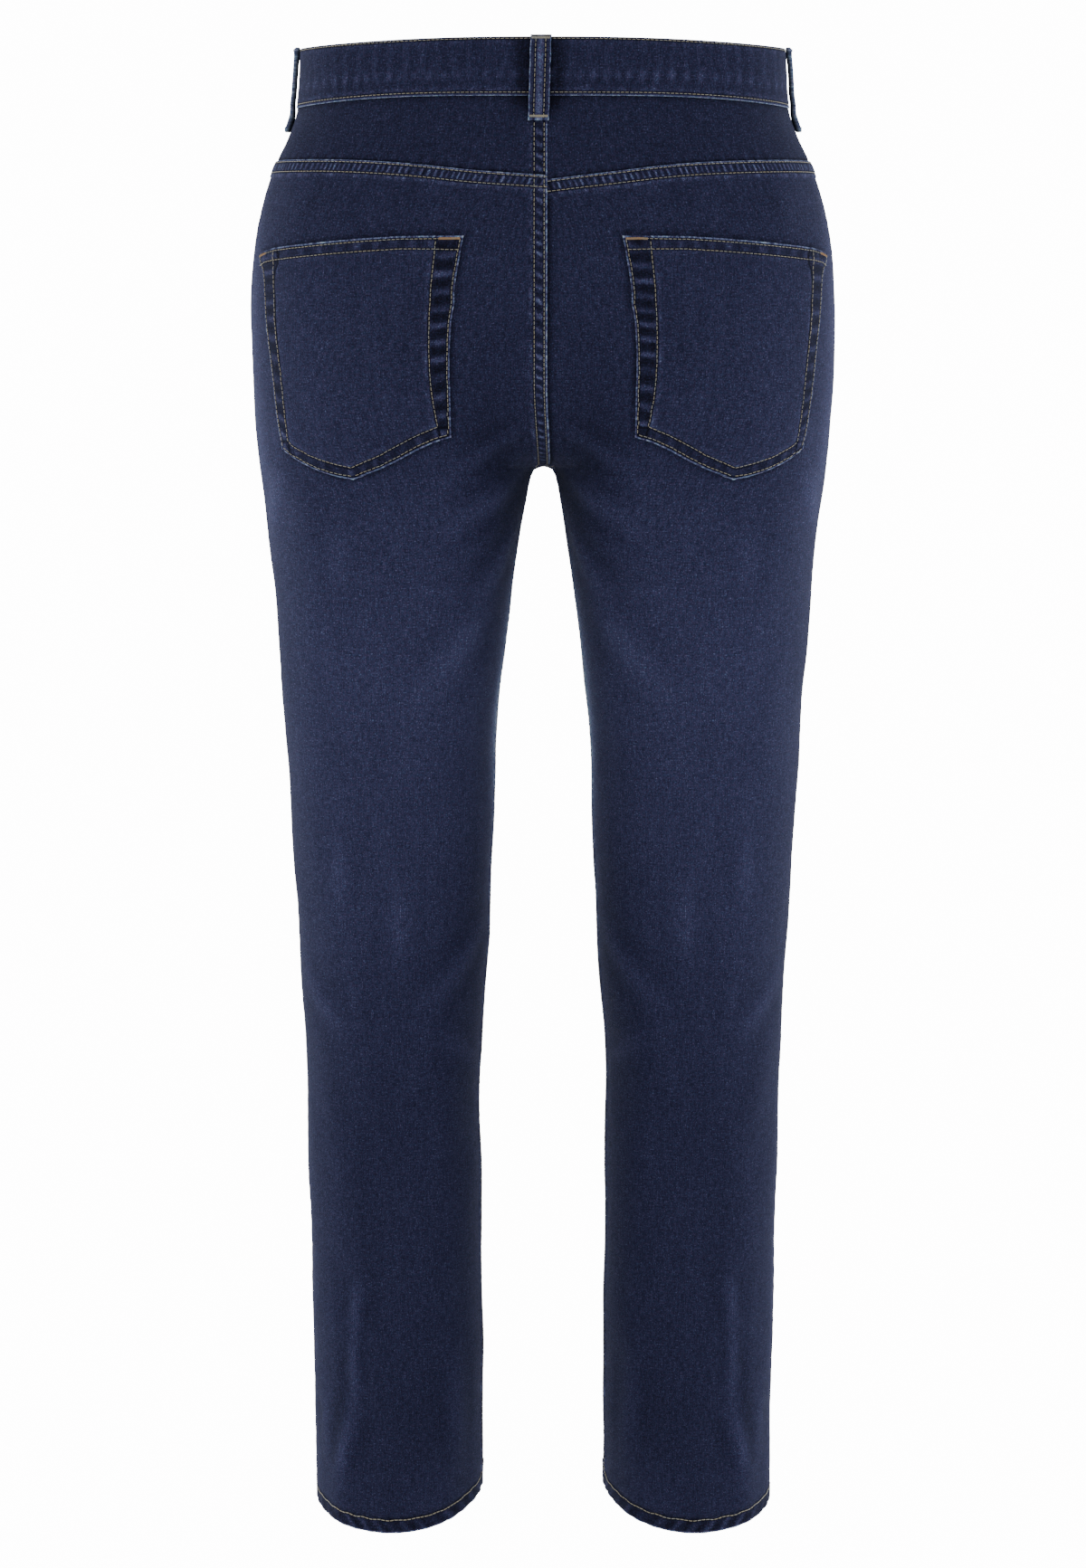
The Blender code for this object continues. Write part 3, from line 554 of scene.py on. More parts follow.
def in_torso(height: Array) -> Array:
    """Step softly from 0 at the fork to 1 above it."""
    return ramp((height - FORK) / LAP_TAPER)


def fell_band(inside: Array) -> Array:
    """Raise the cloth by a felled seam's layers as far in as its two rows reach."""
    return FELL_RAISE * ramp((FELL_WIDTH + FELL_STEP - inside) / FELL_STEP)


def middle_edge(side: Side, height: Array, behind: bool) -> Array:
    """Find a panel's inner edge.

    Args:
        side: the half.
        height: heights on the middle seam or the inseam.
        behind: whether it is a back panel.

    Returns:
        Distances from the middle, below 0 where the panel laps the other one.
    """
    low = ramp((BACK_LAP_FROM - height) / (BACK_LAP_FROM - FORK))
    at_back = BACK_LAP + (BACK_LAP_LOW - BACK_LAP) * low
    lap = at_back if behind else FRONT_LAP + (FLY_LAP - FRONT_LAP) * in_fly(height)
    over = -lap if side == LEFT else lap + SEAM_GAP
    taper = in_torso(height)
    return over * taper + SEAM_GAP / 2.0 * (1.0 - taper)


def lap_raise(side: Side, height: Array, from_edge: Array, behind: bool) -> tuple[Array, Array]:
    """Measure what a felled seam and the fly add under a panel's inner edge.

    Args:
        side: the half.
        height: heights.
        from_edge: distances from the panel's inner edge.
        behind: whether it is a back panel.

    Returns:
        How far the face is raised, and how far the cloth's back is raised with it.
    """
    fell = fell_band(from_edge)
    torso = in_torso(height)
    laps = 1.0 if side == LEFT else 0.0
    if behind:
        return fell * (laps * torso + (1.0 - torso)), 0.0 * fell
    fly = FLY_RAISE * ramp((FELL_WIDTH + FLY_STEP - from_edge) / FLY_STEP)
    is_fly = in_fly(height)
    raised = laps * torso * (fell * (1.0 - is_fly) + fly * is_fly)
    return raised, np.maximum(raised - FELL_RAISE, 0.0)


# ---- creases, fades, painted light and painted shade

# Creases: a ridge from point a to point b, its half width and its height. Side 0 is both.
CREASE = columns(("side", "turn_a", "height_a", "turn_b", "height_b", "width", "lift"), (
    (0, 0.985, -232, 0.82, -262, 7, 0.9),
    (0, 0.975, -254, 0.8, -296, 8, 1.1),
    (0, 0.985, -286, 0.84, -352, 9, 0.9),
    (0, 0.93, -318, 0.78, -420, 11, 0.8),
    (LEFT, 0.673, -500, 0.668, -556, 6, 0.28),
    (RIGHT, 0.677, -496, 0.669, -553, 6, 0.28),
    (LEFT, 0.766, -534, 0.76, -590, 6.5, 0.32),
    (RIGHT, 0.769, -530, 0.761, -587, 6.5, 0.32),
    (0, 0.955, -560, 0.79, -628, 8, 0.8),
    (0, 0.56, -600, 0.69, -646, 8, 0.7),
    (0, 0.95, -668, 0.82, -640, 7, 0.6),
    (LEFT, 0.691, -808, 0.67, -852, 5, 0.8),
    (LEFT, 0.669, -848, 0.675, -898, 4.5, 0.9),
    (LEFT, 0.675, -892, 0.636, -956, 5.5, 1),
    (RIGHT, 0.688, -802, 0.668, -850, 5, 0.8),
    (RIGHT, 0.668, -844, 0.674, -900, 4.5, 0.8),
    (RIGHT, 0.676, -894, 0.64, -952, 5.5, 1),
    (0, 0.86, -850, 0.88, -950, 8, 0.7),
    (0, 0.59, -884, 0.6, -950, 7, 0.5),
    (0, 0.625, -252, 0.56, -300, 8, 0.6),
    (0, 0.015, -206, 0.19, -168, 7, 0.9),
    (0, 0.02, -228, 0.23, -206, 7, 1),
    (0, 0.02, -252, 0.24, -250, 8, 0.9),
    (0, 0.06, -290, 0.26, -330, 9, 0.7),
    (LEFT, 0.12, -560, 0.33, -590, 8, 0.8),
    (RIGHT, 0.13, -566, 0.33, -598, 8, 0.8),
    (0, 0.1, -640, 0.36, -622, 8, 0.7),
    (0, 0.36, -690, 0.18, -720, 8, 0.6),
    (LEFT, 0.26, -870, 0.3, -950, 7, 0.9),
    (RIGHT, 0.27, -880, 0.3, -946, 7, 0.9),
    (0, 0.16, -900, 0.13, -962, 7, 0.7),
))

# Washed fades, painted light and painted shade, as soft spots: where, how wide around and up, and how light.
FADES_AND_PAINTED_LIGHT = columns(("side", "turn", "height", "half_turn", "half_height", "light"), (
    (0, 0.73, -390, 0.15, 125, 0.125),
    (0, 0.56, -420, 0.06, 150, 0.01),
    # Painted rim light along the inner leg's edges, and painted light on the inner thigh, where the legs
    # shade each other.
    (0, 0.99, -405, 0.052, 100, 0.42),
    (0, 0.01, -405, 0.052, 100, 0.26),
    (0, 0.9, -380, 0.075, 90, 0.085),
    (0, 0.97, -480, 0.03, 150, 0.12),
    (0, 0.52, -830, 0.034, 130, 0.08),
    (0, 0.96, -800, 0.03, 130, 0.05),
    # Painted light on the inner thigh.
    (0, 0.9, -470, 0.09, 110, 0.03),
    # Painted rim light along the hip's edges.
    (0, 0.545, -125, 0.038, 62, 0.1),
    (0, 0.56, -215, 0.044, 90, 0.15),
    (0, 0.575, -262, 0.034, 40, 0.06),
    (0, 0.69, -175, 0.12, 70, 0.045),
    (0, 0.633, -238, 0.012, 16, 0.05),
    (0, 0.612, -284, 0.025, 22, 0.035),
    (0, 0.687, -314, 0.014, 22, 0.05),
    (0, 0.715, -560, 0.12, 90, 0.055),
    (LEFT, 0.671, -530, 0.016, 30, 0.055),
    (RIGHT, 0.673, -527, 0.016, 31, 0.05),
    (LEFT, 0.763, -563, 0.018, 27, 0.045),
    (RIGHT, 0.765, -561, 0.017, 28, 0.045),
    (0, 0.688, -620, 0.009, 15, 0.07),
    # Painted shade in the crotch.
    (0, 0.935, -240, 0.05, 48, -0.06),
    (0, 0.935, -345, 0.06, 80, -0.055),
    (0, 0.99, -130, 0.025, 70, -0.02),
    # Painted highlights on the calf's folds.
    (LEFT, 0.676, -835, 0.01, 32, 0.05),
    (LEFT, 0.673, -885, 0.009, 34, 0.06),
    (LEFT, 0.648, -938, 0.01, 22, 0.07),
    (RIGHT, 0.674, -830, 0.01, 32, 0.05),
    (RIGHT, 0.673, -885, 0.009, 34, 0.055),
    (RIGHT, 0.65, -936, 0.01, 22, 0.07),
    # Painted shade beside the calf's folds.
    (0, 0.638, -902, 0.014, 20, -0.05),
    (0, 0.775, -912, 0.07, 52, -0.035),
    (0, 0.25, -380, 0.13, 130, 0.085),
    (0, 0.25, -610, 0.11, 60, 0.06),
    (0, 0.7, -90, 0.15, 22, -0.01),
))

# Slow waves that keep the cloth from lying perfectly even: direction, wavelength, size and phase.
WAVES = (
    ((0.86, 0.12, 0.5), 58.0, 0.2, 0.4),
    ((-0.35, 0.4, 0.85), 83.0, 0.24, 2.1),
    ((0.92, -0.3, -0.22), 41.0, 0.12, 4.0),
    ((0.22, 0.88, 0.42), 47.0, 0.12, 1.2),
    ((0.1, -0.55, 0.83), 131.0, 0.26, 5.2),
    ((-0.7, 0.1, 0.71), 29.0, 0.07, 3.3),
)


def beat(at: Array, pitch: float, seed: float) -> Array:
    """Count uneven crests: the run over the pitch, with two slow sines that shift them by the seed."""
    slow = 0.30 * np.sin(at / (pitch * 3.1) + seed * 1.7) + 0.21 * np.sin(at / (pitch * 1.7) + seed * 2.9)
    return at / pitch + slow


def wander(at: Array, pitch: float, seed: float) -> Array:
    """Make an uneven wave from about -1 to 1, a sine of the uneven count whose size drifts."""
    size = 0.72 + 0.28 * np.sin(at / (pitch * 2.3) + seed * 0.9)
    return np.sin(beat(at, pitch, seed) * 2.0 * np.pi) * size


def spots(side: Side, turn: Array, height: Array) -> Array:
    """Add up the washed fades and the painted light and shade: each is its light times a bell across and a
    bell up.

    Args:
        side: the half.
        turn: turns.
        height: heights.

    Returns:
        How much lighter the cloth is.
    """
    here = np.isin(FADES_AND_PAINTED_LIGHT["side"], (0.0, side))
    spot = {name: values[here] for name, values in FADES_AND_PAINTED_LIGHT.items()}
    turn, height = np.broadcast_arrays(turn, height)
    across = (turn[..., None] - spot["turn"]) / spot["half_turn"]
    up = (height[..., None] - spot["height"]) / spot["half_height"]
    return (spot["light"] * np.exp(-(across**2) - up**2)).sum(axis=-1)


def nearest(points: Array, line: Array) -> tuple[Array, Array]:
    """Measure points from a polyline, as the least of their distances from its pieces.

    Args:
        points: any number of points.
        line: the polyline's points.

    Returns:
        Each point's distance, and the share of the line's length where it is nearest.
    """
    runs = np.linalg.norm(np.diff(line, axis=0), axis=1)
    before = running(line)
    best = np.full(len(points), np.inf)
    share = np.zeros(len(points))
    for i, (a, b) in enumerate(zip(line, line[1:])):
        t = np.clip((points - a) @ (b - a) / max(runs[i] ** 2, 1e-9), 0.0, 1.0)
        far = np.linalg.norm(points - (a + t[:, None] * (b - a)), axis=1)
        closer = far < best
        best = np.where(closer, far, best)
        share = np.where(closer, (before[i] + t * runs[i]) / before[-1], share)
    return best, share


class Drape:
    """The worn cloth's surface: the form with its creases and unevenness."""

    reach = 4.0
    valley = 0.45
    valley_at = 1.9

    def __init__(self) -> None:
        """Lay the creases on the form, as lines of a few points between their ends."""
        self.form = Form()
        share = np.linspace(0.0, 1.0, 6)[None, :]
        turn, height = (
            CREASE[name + "_a"][:, None] + (CREASE[name + "_b"] - CREASE[name + "_a"])[:, None] * share
            for name in ("turn", "height")
        )
        self.lines = self.form.read(turn, height)[0]

    def creases(self, side: Side, points: Array) -> Array:
        """Add up the creases: each is a ridge with a shallow valley beside it, tapered to its ends.

        Args:
            side: the half.
            points: points of the left half's form, any shape by 3.

        Returns:
            How far the creases push the cloth out, or in beside them.
        """
        flat = points.reshape(-1, 3)
        total = np.zeros(len(flat))
        for line, at, width, lift in zip(self.lines, CREASE["side"], CREASE["width"], CREASE["lift"]):
            if at not in (0.0, side):
                continue
            reach = self.reach * width
            low, high = line.min(axis=0) - reach, line.max(axis=0) + reach
            here = np.nonzero(((flat > low) & (flat < high)).all(axis=1))[0]
            if len(here):
                far, share = nearest(flat[here], line)
                ends = np.sin(np.pi * np.clip(share, 0.0, 1.0))
                valley = bell(far - self.valley_at * width, width)
                total[here] += lift * ends * (bell(far, width) - self.valley * valley)
        return total.reshape(points.shape[:-1])

    def waves(self, side: Side, points: Array) -> Array:
        """Add up the slow waves, sines of the distance along their directions.

        Args:
            side: the half.
            points: points of the left half's form.

        Returns:
            How far the waves push the cloth out.
        """
        total = np.zeros(points.shape[:-1])
        for way, length, size, phase in WAVES:
            at = points @ (np.array(way) * np.array([side, 1.0, 1.0])) * (2.0 * np.pi / length)
            total = total + size * np.sin(at + phase + 0.8 * np.sin(at / 2.7 + phase))
        return total

    def cloth(self, side: Side, turn: Array, height: Array, out: Values) -> Array:
        """Find points of the creased cloth, some distances out of the form."""
        relief = sum(add(side, self.form.read(turn, height)[0]) for add in (self.creases, self.waves))
        return self.form.skin(side, turn, height, out + relief)


# ---- cloth grids, meshes and stitches


@dataclass
class Seam:
    """How a piece lies to one of its sewn edges, at every point of its grid.

    run is the length along the edge, inside the distance in from it, strength how much the sewing
    has drawn the cloth up, pitch and seed shape its worn bars, and coarse is how many bars make one
    pucker. first and second are how far in its two rows of stitches run, and unworn is how much of
    the edge's pale wear is missing.
    """

    run: Array
    inside: Array
    strength: Values = 1.0
    pitch: float = 7.6
    seed: float = 0.0
    first: Values = FIRST_ROW
    second: Values = FIRST_ROW + NEEDLES
    pucker: float = 0.32
    coarse: float = 1.0
    slant: float = 0.5
    unworn: float = 0.0
    dip = 0.22
    dip_width = 0.6
    lip_radius = 0.8
    lip_drop = 0.5

    def phase(self) -> Array:
        """Count the worn bars, which slant from row to row."""
        return beat(self.run + self.slant * self.inside, self.pitch, self.seed)

    def wave(self) -> Array:
        """Pucker the strip between the rows with a sine, and ripple the lip outside them.

        Returns:
            -1 to 1 along the seam, only near it.
        """
        share = (self.inside - self.first) / np.maximum(self.second - self.first, 0.1)
        band = np.sin(np.pi * np.clip(share, 0.0, 1.0)) ** 0.7
        lip = np.clip(1.0 - self.inside / self.first, 0.0, 1.0)
        ahead = np.sin(2.0 * np.pi * self.phase() / self.coarse)
        edge = wander(self.run, self.pitch * 0.9 * self.coarse, self.seed + 3.0)
        return self.strength * (band * ahead + 0.6 * lip * edge)

    def lift(self) -> Array:
        """Shape the sewn edge: puckers, the dips that the two rows pull, and the lip's quarter round.

        Returns:
            Distances out.
        """
        dips = sum(bell(self.inside - row, self.dip_width) for row in (self.first, self.second))
        near = np.clip(1.0 - self.inside / self.lip_radius, 0.0, 1.0)
        rolled = self.lip_drop * (1.0 - np.sqrt(1.0 - near**2))
        return self.pucker * self.wave() - self.dip * dips * np.sign(self.strength) - rolled

    def fields(self) -> Array:
        """Collect the count of bars and the distances past the first and the second row."""
        found = np.broadcast_arrays(self.phase(), self.inside - self.first, self.inside - self.second)
        return np.stack(found, axis=-1)


@dataclass
class Patch:
    """The grids of one cloth piece: its face, its back and what its denim reads.

    cloth is the place across and down the cloth, seam_a and seam_b are two seams' fields, rim is the
    distance from a worn edge with the seams' strengths, and look is the fade with painted light and shade,
    the wear, and the darkening, which is mostly painted shade.
    """

    outer: Array
    inner: Array
    cloth: Array
    seam_a: Array
    seam_b: Array
    rim: Array
    look: Array
    painted = ("cloth", "seam_a", "seam_b", "rim", "look")

    @classmethod
    def joined(cls, parts: Sequence["Patch"]) -> "Patch":
        """Join patches with the same rows side by side."""
        names = ("outer", "inner", *cls.painted)
        return cls(*[np.concatenate([getattr(p, n) for p in parts], axis=1) for n in names])

    def area(self) -> float:
        """Measure the cloth in square metres, by half the cross products of its cells' diagonals."""
        p = self.outer
        cells = np.cross(p[1:, 1:] - p[:-1, :-1], p[1:, :-1] - p[:-1, 1:])
        return float(np.linalg.norm(cells, axis=-1).sum() / 2.0) * MM * MM

    def flat(self) -> tuple[float, float]:
        """Measure the cut's width and length in metres, by its longest row and column."""
        spans = [np.linalg.norm(np.diff(self.outer, axis=a), axis=-1).sum(axis=a).max() for a in (1, 0)]
        return float(spans[0]) * MM, float(spans[1]) * MM

    def level(self, seam: str, row: int, rows: Array | slice = slice(None)) -> Array:
        """Find where a seam's stitches in row 1 or 2 cross each, or some, of the grid's rows."""
        return level_line(self.outer[rows], getattr(self, seam)[rows][..., row])

    def upright(self, seam: str, row: int, sign: float = 1.0) -> Array:
        """Find where they cross its columns; sign is -1 if the distance from the edge falls down them."""
        return level_line(self.outer.transpose(1, 0, 2), sign * getattr(self, seam)[..., row].T)


def level_line(grid: Array, fields: Array, value: float = 0.0) -> Array:
    """Find the point in each row of a grid where a field that rises along the row has a value."""
    return np.array([[np.interp(value, f, g[:, k]) for k in range(3)] for g, f in zip(grid, fields)])


def grid_faces(rows: int, across: int) -> Array:
    """List the faces of a closed wall between a face grid and a back grid.

    Args:
        rows: rows of each grid.
        across: columns of each grid.

    Returns:
        Corner indices by face.
    """
    at = np.arange(rows * across).reshape(rows, across)
    shift = rows * across
    a, b, c, d = at[:-1, :-1], at[:-1, 1:], at[1:, 1:], at[1:, :-1]
    rim = np.concatenate([at[0, :-1], at[:-1, -1], at[-1, :0:-1], at[:0:-1, 0]])
    after = np.roll(rim, -1)
    face = np.stack([a, b, c, d], axis=-1).reshape(-1, 4)
    back = np.stack([a, d, c, b], axis=-1).reshape(-1, 4) + shift
    border = np.stack([after, rim, rim + shift, after + shift], axis=-1)
    return np.concatenate([face, back, border])


def make_object(name: str, points: Array, faces: Array, material: Material) -> bpy.types.Object:
    """Make a smooth mesh object at the origin.

    Args:
        name: the piece's name.
        points: vertices in millimetres.
        faces: corner indices by face.
        material: its material.

    Returns:
        The object.
    """
    mesh = bpy.data.meshes.new(name)
    mesh.from_pydata((points * MM).tolist(), [], faces.tolist())
    mesh.shade_smooth()
    mesh.materials.append(material)
    item = bpy.data.objects.new(name, mesh)
    bpy.context.scene.collection.objects.link(item)
    return item


def make_cloth(name: str, patch: Patch, material: Material) -> bpy.types.Object:
    """Make a thin cloth shell and paint on it what its denim reads.

    Args:
        name: the piece's name.
        patch: its grids.
        material: its denim.

    Returns:
        The object.
    """
    rows, across = patch.outer.shape[:2]
    faces = grid_faces(rows, across)
    r, c = rows // 2, across // 2
    here = patch.outer[r, c]
    normal = np.cross(patch.outer[r, c + 1] - here, patch.outer[r + 1, c] - here)
    if normal @ (here - patch.inner[r, c]) < 0.0:
        faces = faces[:, ::-1]
    points = np.concatenate([patch.outer.reshape(-1, 3), patch.inner.reshape(-1, 3)])
    item = make_object(name, points, faces, material)
    for layer in Patch.painted:
        values = np.concatenate([getattr(patch, layer).reshape(-1, 3)] * 2)
        if layer == "cloth":
            values[rows * across:, 2] = 1.0
        attribute = item.data.attributes.new(layer, "FLOAT_VECTOR", "POINT")
        attribute.data.foreach_set("vector", values.astype(np.float32).ravel())
    return item


class Ground:
    """Finds the nearest place on a piece's face."""

    def __init__(self, item: bpy.types.Object) -> None:
        """Index the piece's mesh.

        Args:
            item: the piece.
        """
        mesh = item.data
        vertices = np.empty(len(mesh.vertices) * 3)
        mesh.vertices.foreach_get("co", vertices)
        corners = np.empty(len(mesh.polygons) * 4, dtype=int)
        mesh.loops.foreach_get("vertex_index", corners)
        points = (vertices.reshape(-1, 3) / MM).tolist()
        self.tree = BVHTree.FromPolygons(points, corners.reshape(-1, 4).tolist())

    def onto(self, points: Array) -> tuple[Array, Array]:
        """Drop points onto the cloth, and return their nearest places and the cloth's directions there."""
        found = [self.tree.find_nearest(Vector(p)) for p in points.tolist()]
        return tuple(np.array([tuple(f[k]) for f in found]) for k in (0, 1))


@dataclass(frozen=True)
class Stitch:
    """A kind of stitch: its pitch, length, half thickness and height above the cloth.

    across is whether it lies across its row, as in a bar tack.
    """

    pitch: float = 3.0
    length: float = 2.55
    radius: float = 0.24
    lift: float = 0.06
    across: bool = False


TOPSTITCH = Stitch()
HEM_STITCH = Stitch(length=2.85, radius=0.34)
BAR_TACK = Stitch(pitch=0.5, length=1.7, radius=0.26, lift=0.14, across=True)


@dataclass
class Thread:
    """Sews stitches onto cloth pieces and joins them into one mesh for each.

    The profile is one stitch's rings: the place along it, the size and the rise.
    """

    sides: int = 5
    profile: tuple[tuple[float, float, float], ...] = (
        (-0.5, 0.35, -1.3),
        (-0.4, 0.95, 0),
        (0, 1, 0.25),
        (0.4, 0.95, 0),
        (0.5, 0.35, -1.3),
    )
    ahead: float = 0.4
    wobble: float = 0.06
    points: list[Array] = field(default_factory=list)

    def __post_init__(self) -> None:
        """Shape one stitch, 1 long, lying along x with z out of the cloth."""
        place, size, rise = np.array(self.profile).T[..., None]
        around = np.arange(self.sides) / self.sides * 2.0 * np.pi
        stitch = np.broadcast_arrays(place, size * np.cos(around), size * np.sin(around) + rise)
        self.stitch = np.stack(stitch, axis=-1).reshape(-1, 3)
        at = np.arange(len(self.stitch)).reshape(len(self.profile), self.sides)
        after = np.roll(at, -1, axis=1)
        self.faces = np.stack([at[:-1], after[:-1], after[1:], at[1:]], axis=-1).reshape(-1, 4)

    def row(self, line: Array, ground: Ground, kind: Stitch) -> None:
        """Sew one row, its stitches spread evenly along the line.

        Args:
            line: points along the row.
            ground: the cloth it is sewn on.
            kind: how it is sewn.
        """
        run = running(line)
        count = int(run[-1] / kind.pitch)
        if count < 1:
            return
        at = (np.arange(count) + 0.5) * run[-1] / count
        middle, ahead, behind = (
            np.stack([np.interp(at + step, run, line[:, k]) for k in range(3)], axis=1)
            for step in (0.0, self.ahead, -self.ahead)
        )
        place, normal = ground.onto(middle)
        way = ahead - behind
        way = way - (way * normal).sum(axis=1, keepdims=True) * normal
        way = way / np.maximum(np.linalg.norm(way, axis=1, keepdims=True), 1e-9)
        beside = np.cross(normal, way)
        if kind.across:
            way, beside = beside, -way
        way = way + beside * (self.wobble * np.sin(np.arange(count) * 2.4 + at[0] * 7.0)[:, None])
        mesh = (place + normal * kind.lift)[:, None]
        axes = ((way, kind.length), (beside, kind.radius), (normal, kind.radius))
        for k, (axis, size) in enumerate(axes):
            mesh = mesh + self.stitch[None, :, k:k + 1] * size * axis[:, None]
        self.points.append(mesh.reshape(-1, 3))

    def finish(self, name: str, material: Material) -> bpy.types.Object:
        """Join the stitches sewn so far in one piece.

        Args:
            name: the piece's name.
            material: the thread's material.

        Returns:
            The object.
        """
        points = np.concatenate(self.points)
        steps = np.arange(0, len(points), len(self.stitch))[:, None, None]
        self.points = []
        item = make_object(name, points, (self.faces[None] + steps).reshape(-1, 4), material)
        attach(item, "root")
        return item


# ---- shader groups


@dataclass
class Nodes:
    """Adds and joins the nodes of one tree."""

    tree: bpy.types.NodeTree

    def feed(self, node: bpy.types.Node, inputs: dict) -> None:
        """Set a node's inputs to values, or join them to sockets.

        Args:
            node: the node.
            inputs: values or sockets by input name or number.
        """
        for key, value in inputs.items():
            if isinstance(value, Socket):
                self.tree.links.new(value, node.inputs[key])
            else:
                node.inputs[key].default_value = value

    def add(self, kind: str, inputs: dict | None = None, **settings: object) -> bpy.types.Node:
        """Add a node.

        Args:
            kind: the node's type, without the words that all of them start with.
            inputs: values or sockets by input name or number.
            settings: the node's own settings.

        Returns:
            The node.
        """
        node = self.tree.nodes.new("ShaderNode" + kind)
        for name, value in settings.items():
            setattr(node, name, value)
        self.feed(node, inputs or {})
        return node

    def group(self, tree: bpy.types.NodeTree, **inputs: Socket | float) -> bpy.types.bpy_prop_collection:
        """Place a group and return its outputs."""
        return self.add("Group", inputs, node_tree=tree).outputs

    def split(self, vector: Socket) -> list[Socket]:
        """Split a vector in its three values."""
        return list(self.add("SeparateXYZ", {0: vector}).outputs)

    def math(self, operation: str, *values: Socket | float, clamp: bool = False) -> Socket:
        """Add a math node, whose result may be kept from 0 to 1."""
        return self.add("Math", dict(enumerate(values)), operation=operation, use_clamp=clamp).outputs[0]

    def times(self, *values: Socket | float) -> Socket:
        """Multiply values."""
        return reduce(lambda total, value: self.math("MULTIPLY", total, value), values)

    def scaled(self, value: Socket, factor: float, more: Socket | float, clamp: bool = False) -> Socket:
        """Multiply a value by a factor and add more to it."""
        return self.math("MULTIPLY_ADD", value, factor, more, clamp=clamp)

    def sum(self, *terms: tuple[Socket, float]) -> Socket:
        """Add up values by their weights."""
        return reduce(lambda total, term: self.scaled(*term, total), terms[1:], self.times(*terms[0]))

    def noise(self, vector: Socket, across: float, down: float, detail: float = 1.0) -> Socket:
        """Add a noise over the cloth, from about -1 to 1.

        Args:
            vector: the cloth's place in millimetres.
            across: the noise's size across.
            down: its size down.
            detail: finer layers.

        Returns:
            The noise.
        """
        moved = self.add("VectorMath", {0: vector, 1: (1.0 / across, 1.0 / down, 0.0)}, operation="MULTIPLY")
        found = self.add("TexNoise", {"Vector": moved.outputs[0], "Scale": 1.0, "Detail": detail})
        return self.scaled(found.outputs[0], 4.0, -2.0)

    def texture(self, kind: str, output: int, inputs: dict, **settings: object) -> Socket:
        """Add a texture over the object's own coordinates and return one of its outputs."""
        place = self.add("TexCoord").outputs["Object"]
        return self.add(kind, {"Vector": place} | inputs, **settings).outputs[output]

    def step(self, value: Socket, low: float, high: float) -> Socket:
        """Step softly from 0 where a value is low to 1 where it is high."""
        return self.add("MapRange", {0: value, 1: low, 2: high}, interpolation_type="SMOOTHSTEP").outputs[0]

    def mix(self, share: Socket, first: Color | Socket, second: Color | Socket) -> Socket:
        """Mix a second colour into a first one by its share."""
        a, b = (c if isinstance(c, Socket) else (*c, 1.0) for c in (first, second))
        return self.add("Mix", {0: share, 6: a, 7: b}, data_type="RGBA").outputs[2]

    def bump(self, height: Socket, distance: float, strength: float) -> Socket:
        """Turn a height, whose 1 is a distance in metres, into a normal."""
        return self.add("Bump", {"Height": height, "Distance": distance, "Strength": strength}).outputs[0]

    def wash(self, share: Socket, stops: Sequence[tuple[float, Color]]) -> Socket:
        """Read a colour from a straight ramp.

        Args:
            share: where to read it.
            stops: the ramp's places and colours.

        Returns:
            The colour.
        """
        node = self.add("ValToRGB", {0: share})
        node.color_ramp.interpolation = "LINEAR"
        elements = node.color_ramp.elements
        while len(elements) < len(stops):
            elements.new(0.5)
        for element, (place, color) in zip(elements, stops):
            element.position = place
            element.color = (*color, 1.0)
        return node.outputs[0]


class Group(Nodes):
    """A shader node group with named inputs and outputs."""

    def __init__(self, name: str, inputs: dict[str, str], outputs: dict[str, str]) -> None:
        """Start the group.

        Args:
            name: its name.
            inputs: socket types by input name.
            outputs: socket types by output name.
        """
        super().__init__(bpy.data.node_groups.new(name, "ShaderNodeTree"))
        for way, sockets in (("INPUT", inputs), ("OUTPUT", outputs)):
            for socket, kind in sockets.items():
                self.tree.interface.new_socket(name=socket, in_out=way, socket_type="NodeSocket" + kind)
        self.given = self.tree.nodes.new("NodeGroupInput").outputs

    def give(self, **outputs: Socket) -> bpy.types.NodeTree:
        """Join the group's outputs by name and return its tree."""
        self.feed(self.tree.nodes.new("NodeGroupOutput"), outputs)
        return self.tree


YARN_ACROSS = 0.52
YARN_DOWN = 0.60
# How much each thing lightens or darkens the washed denim.
GRAIN = 0.34
MOTTLE = 0.035
WORN = 0.30
# SHADED scales the darkening that the pieces carry, which is mostly painted shade; LADDER_SHADE scales the
# ladders' darker gaps and the painted shade in the rows' dents.
SHADED = 0.22
LADDER_LIGHT = 0.36
LADDER_SHADE = 0.24
SHADE_OF_GAPS = 0.40
EDGE_LIGHT = 0.62
WEFT_LIGHT = 0.06
# Denim from unwashed to worn white: place along the wash and colour.
INDIGO = (
    (0.0, (0.0046, 0.0047, 0.0099)),
    (0.25, (0.0134, 0.0144, 0.0366)),
    (0.5, (0.037, 0.0384, 0.089)),
    (0.75, (0.101, 0.121, 0.225)),
    (1.0, (0.26, 0.32, 0.43)),
)
VIOLET = (1.14, 0.95, 0.96)
TEAL = (0.84, 1.05, 1.04)
REVERSE = (0.060, 0.072, 0.104)
REVERSE_PALE = (0.125, 0.143, 0.178)


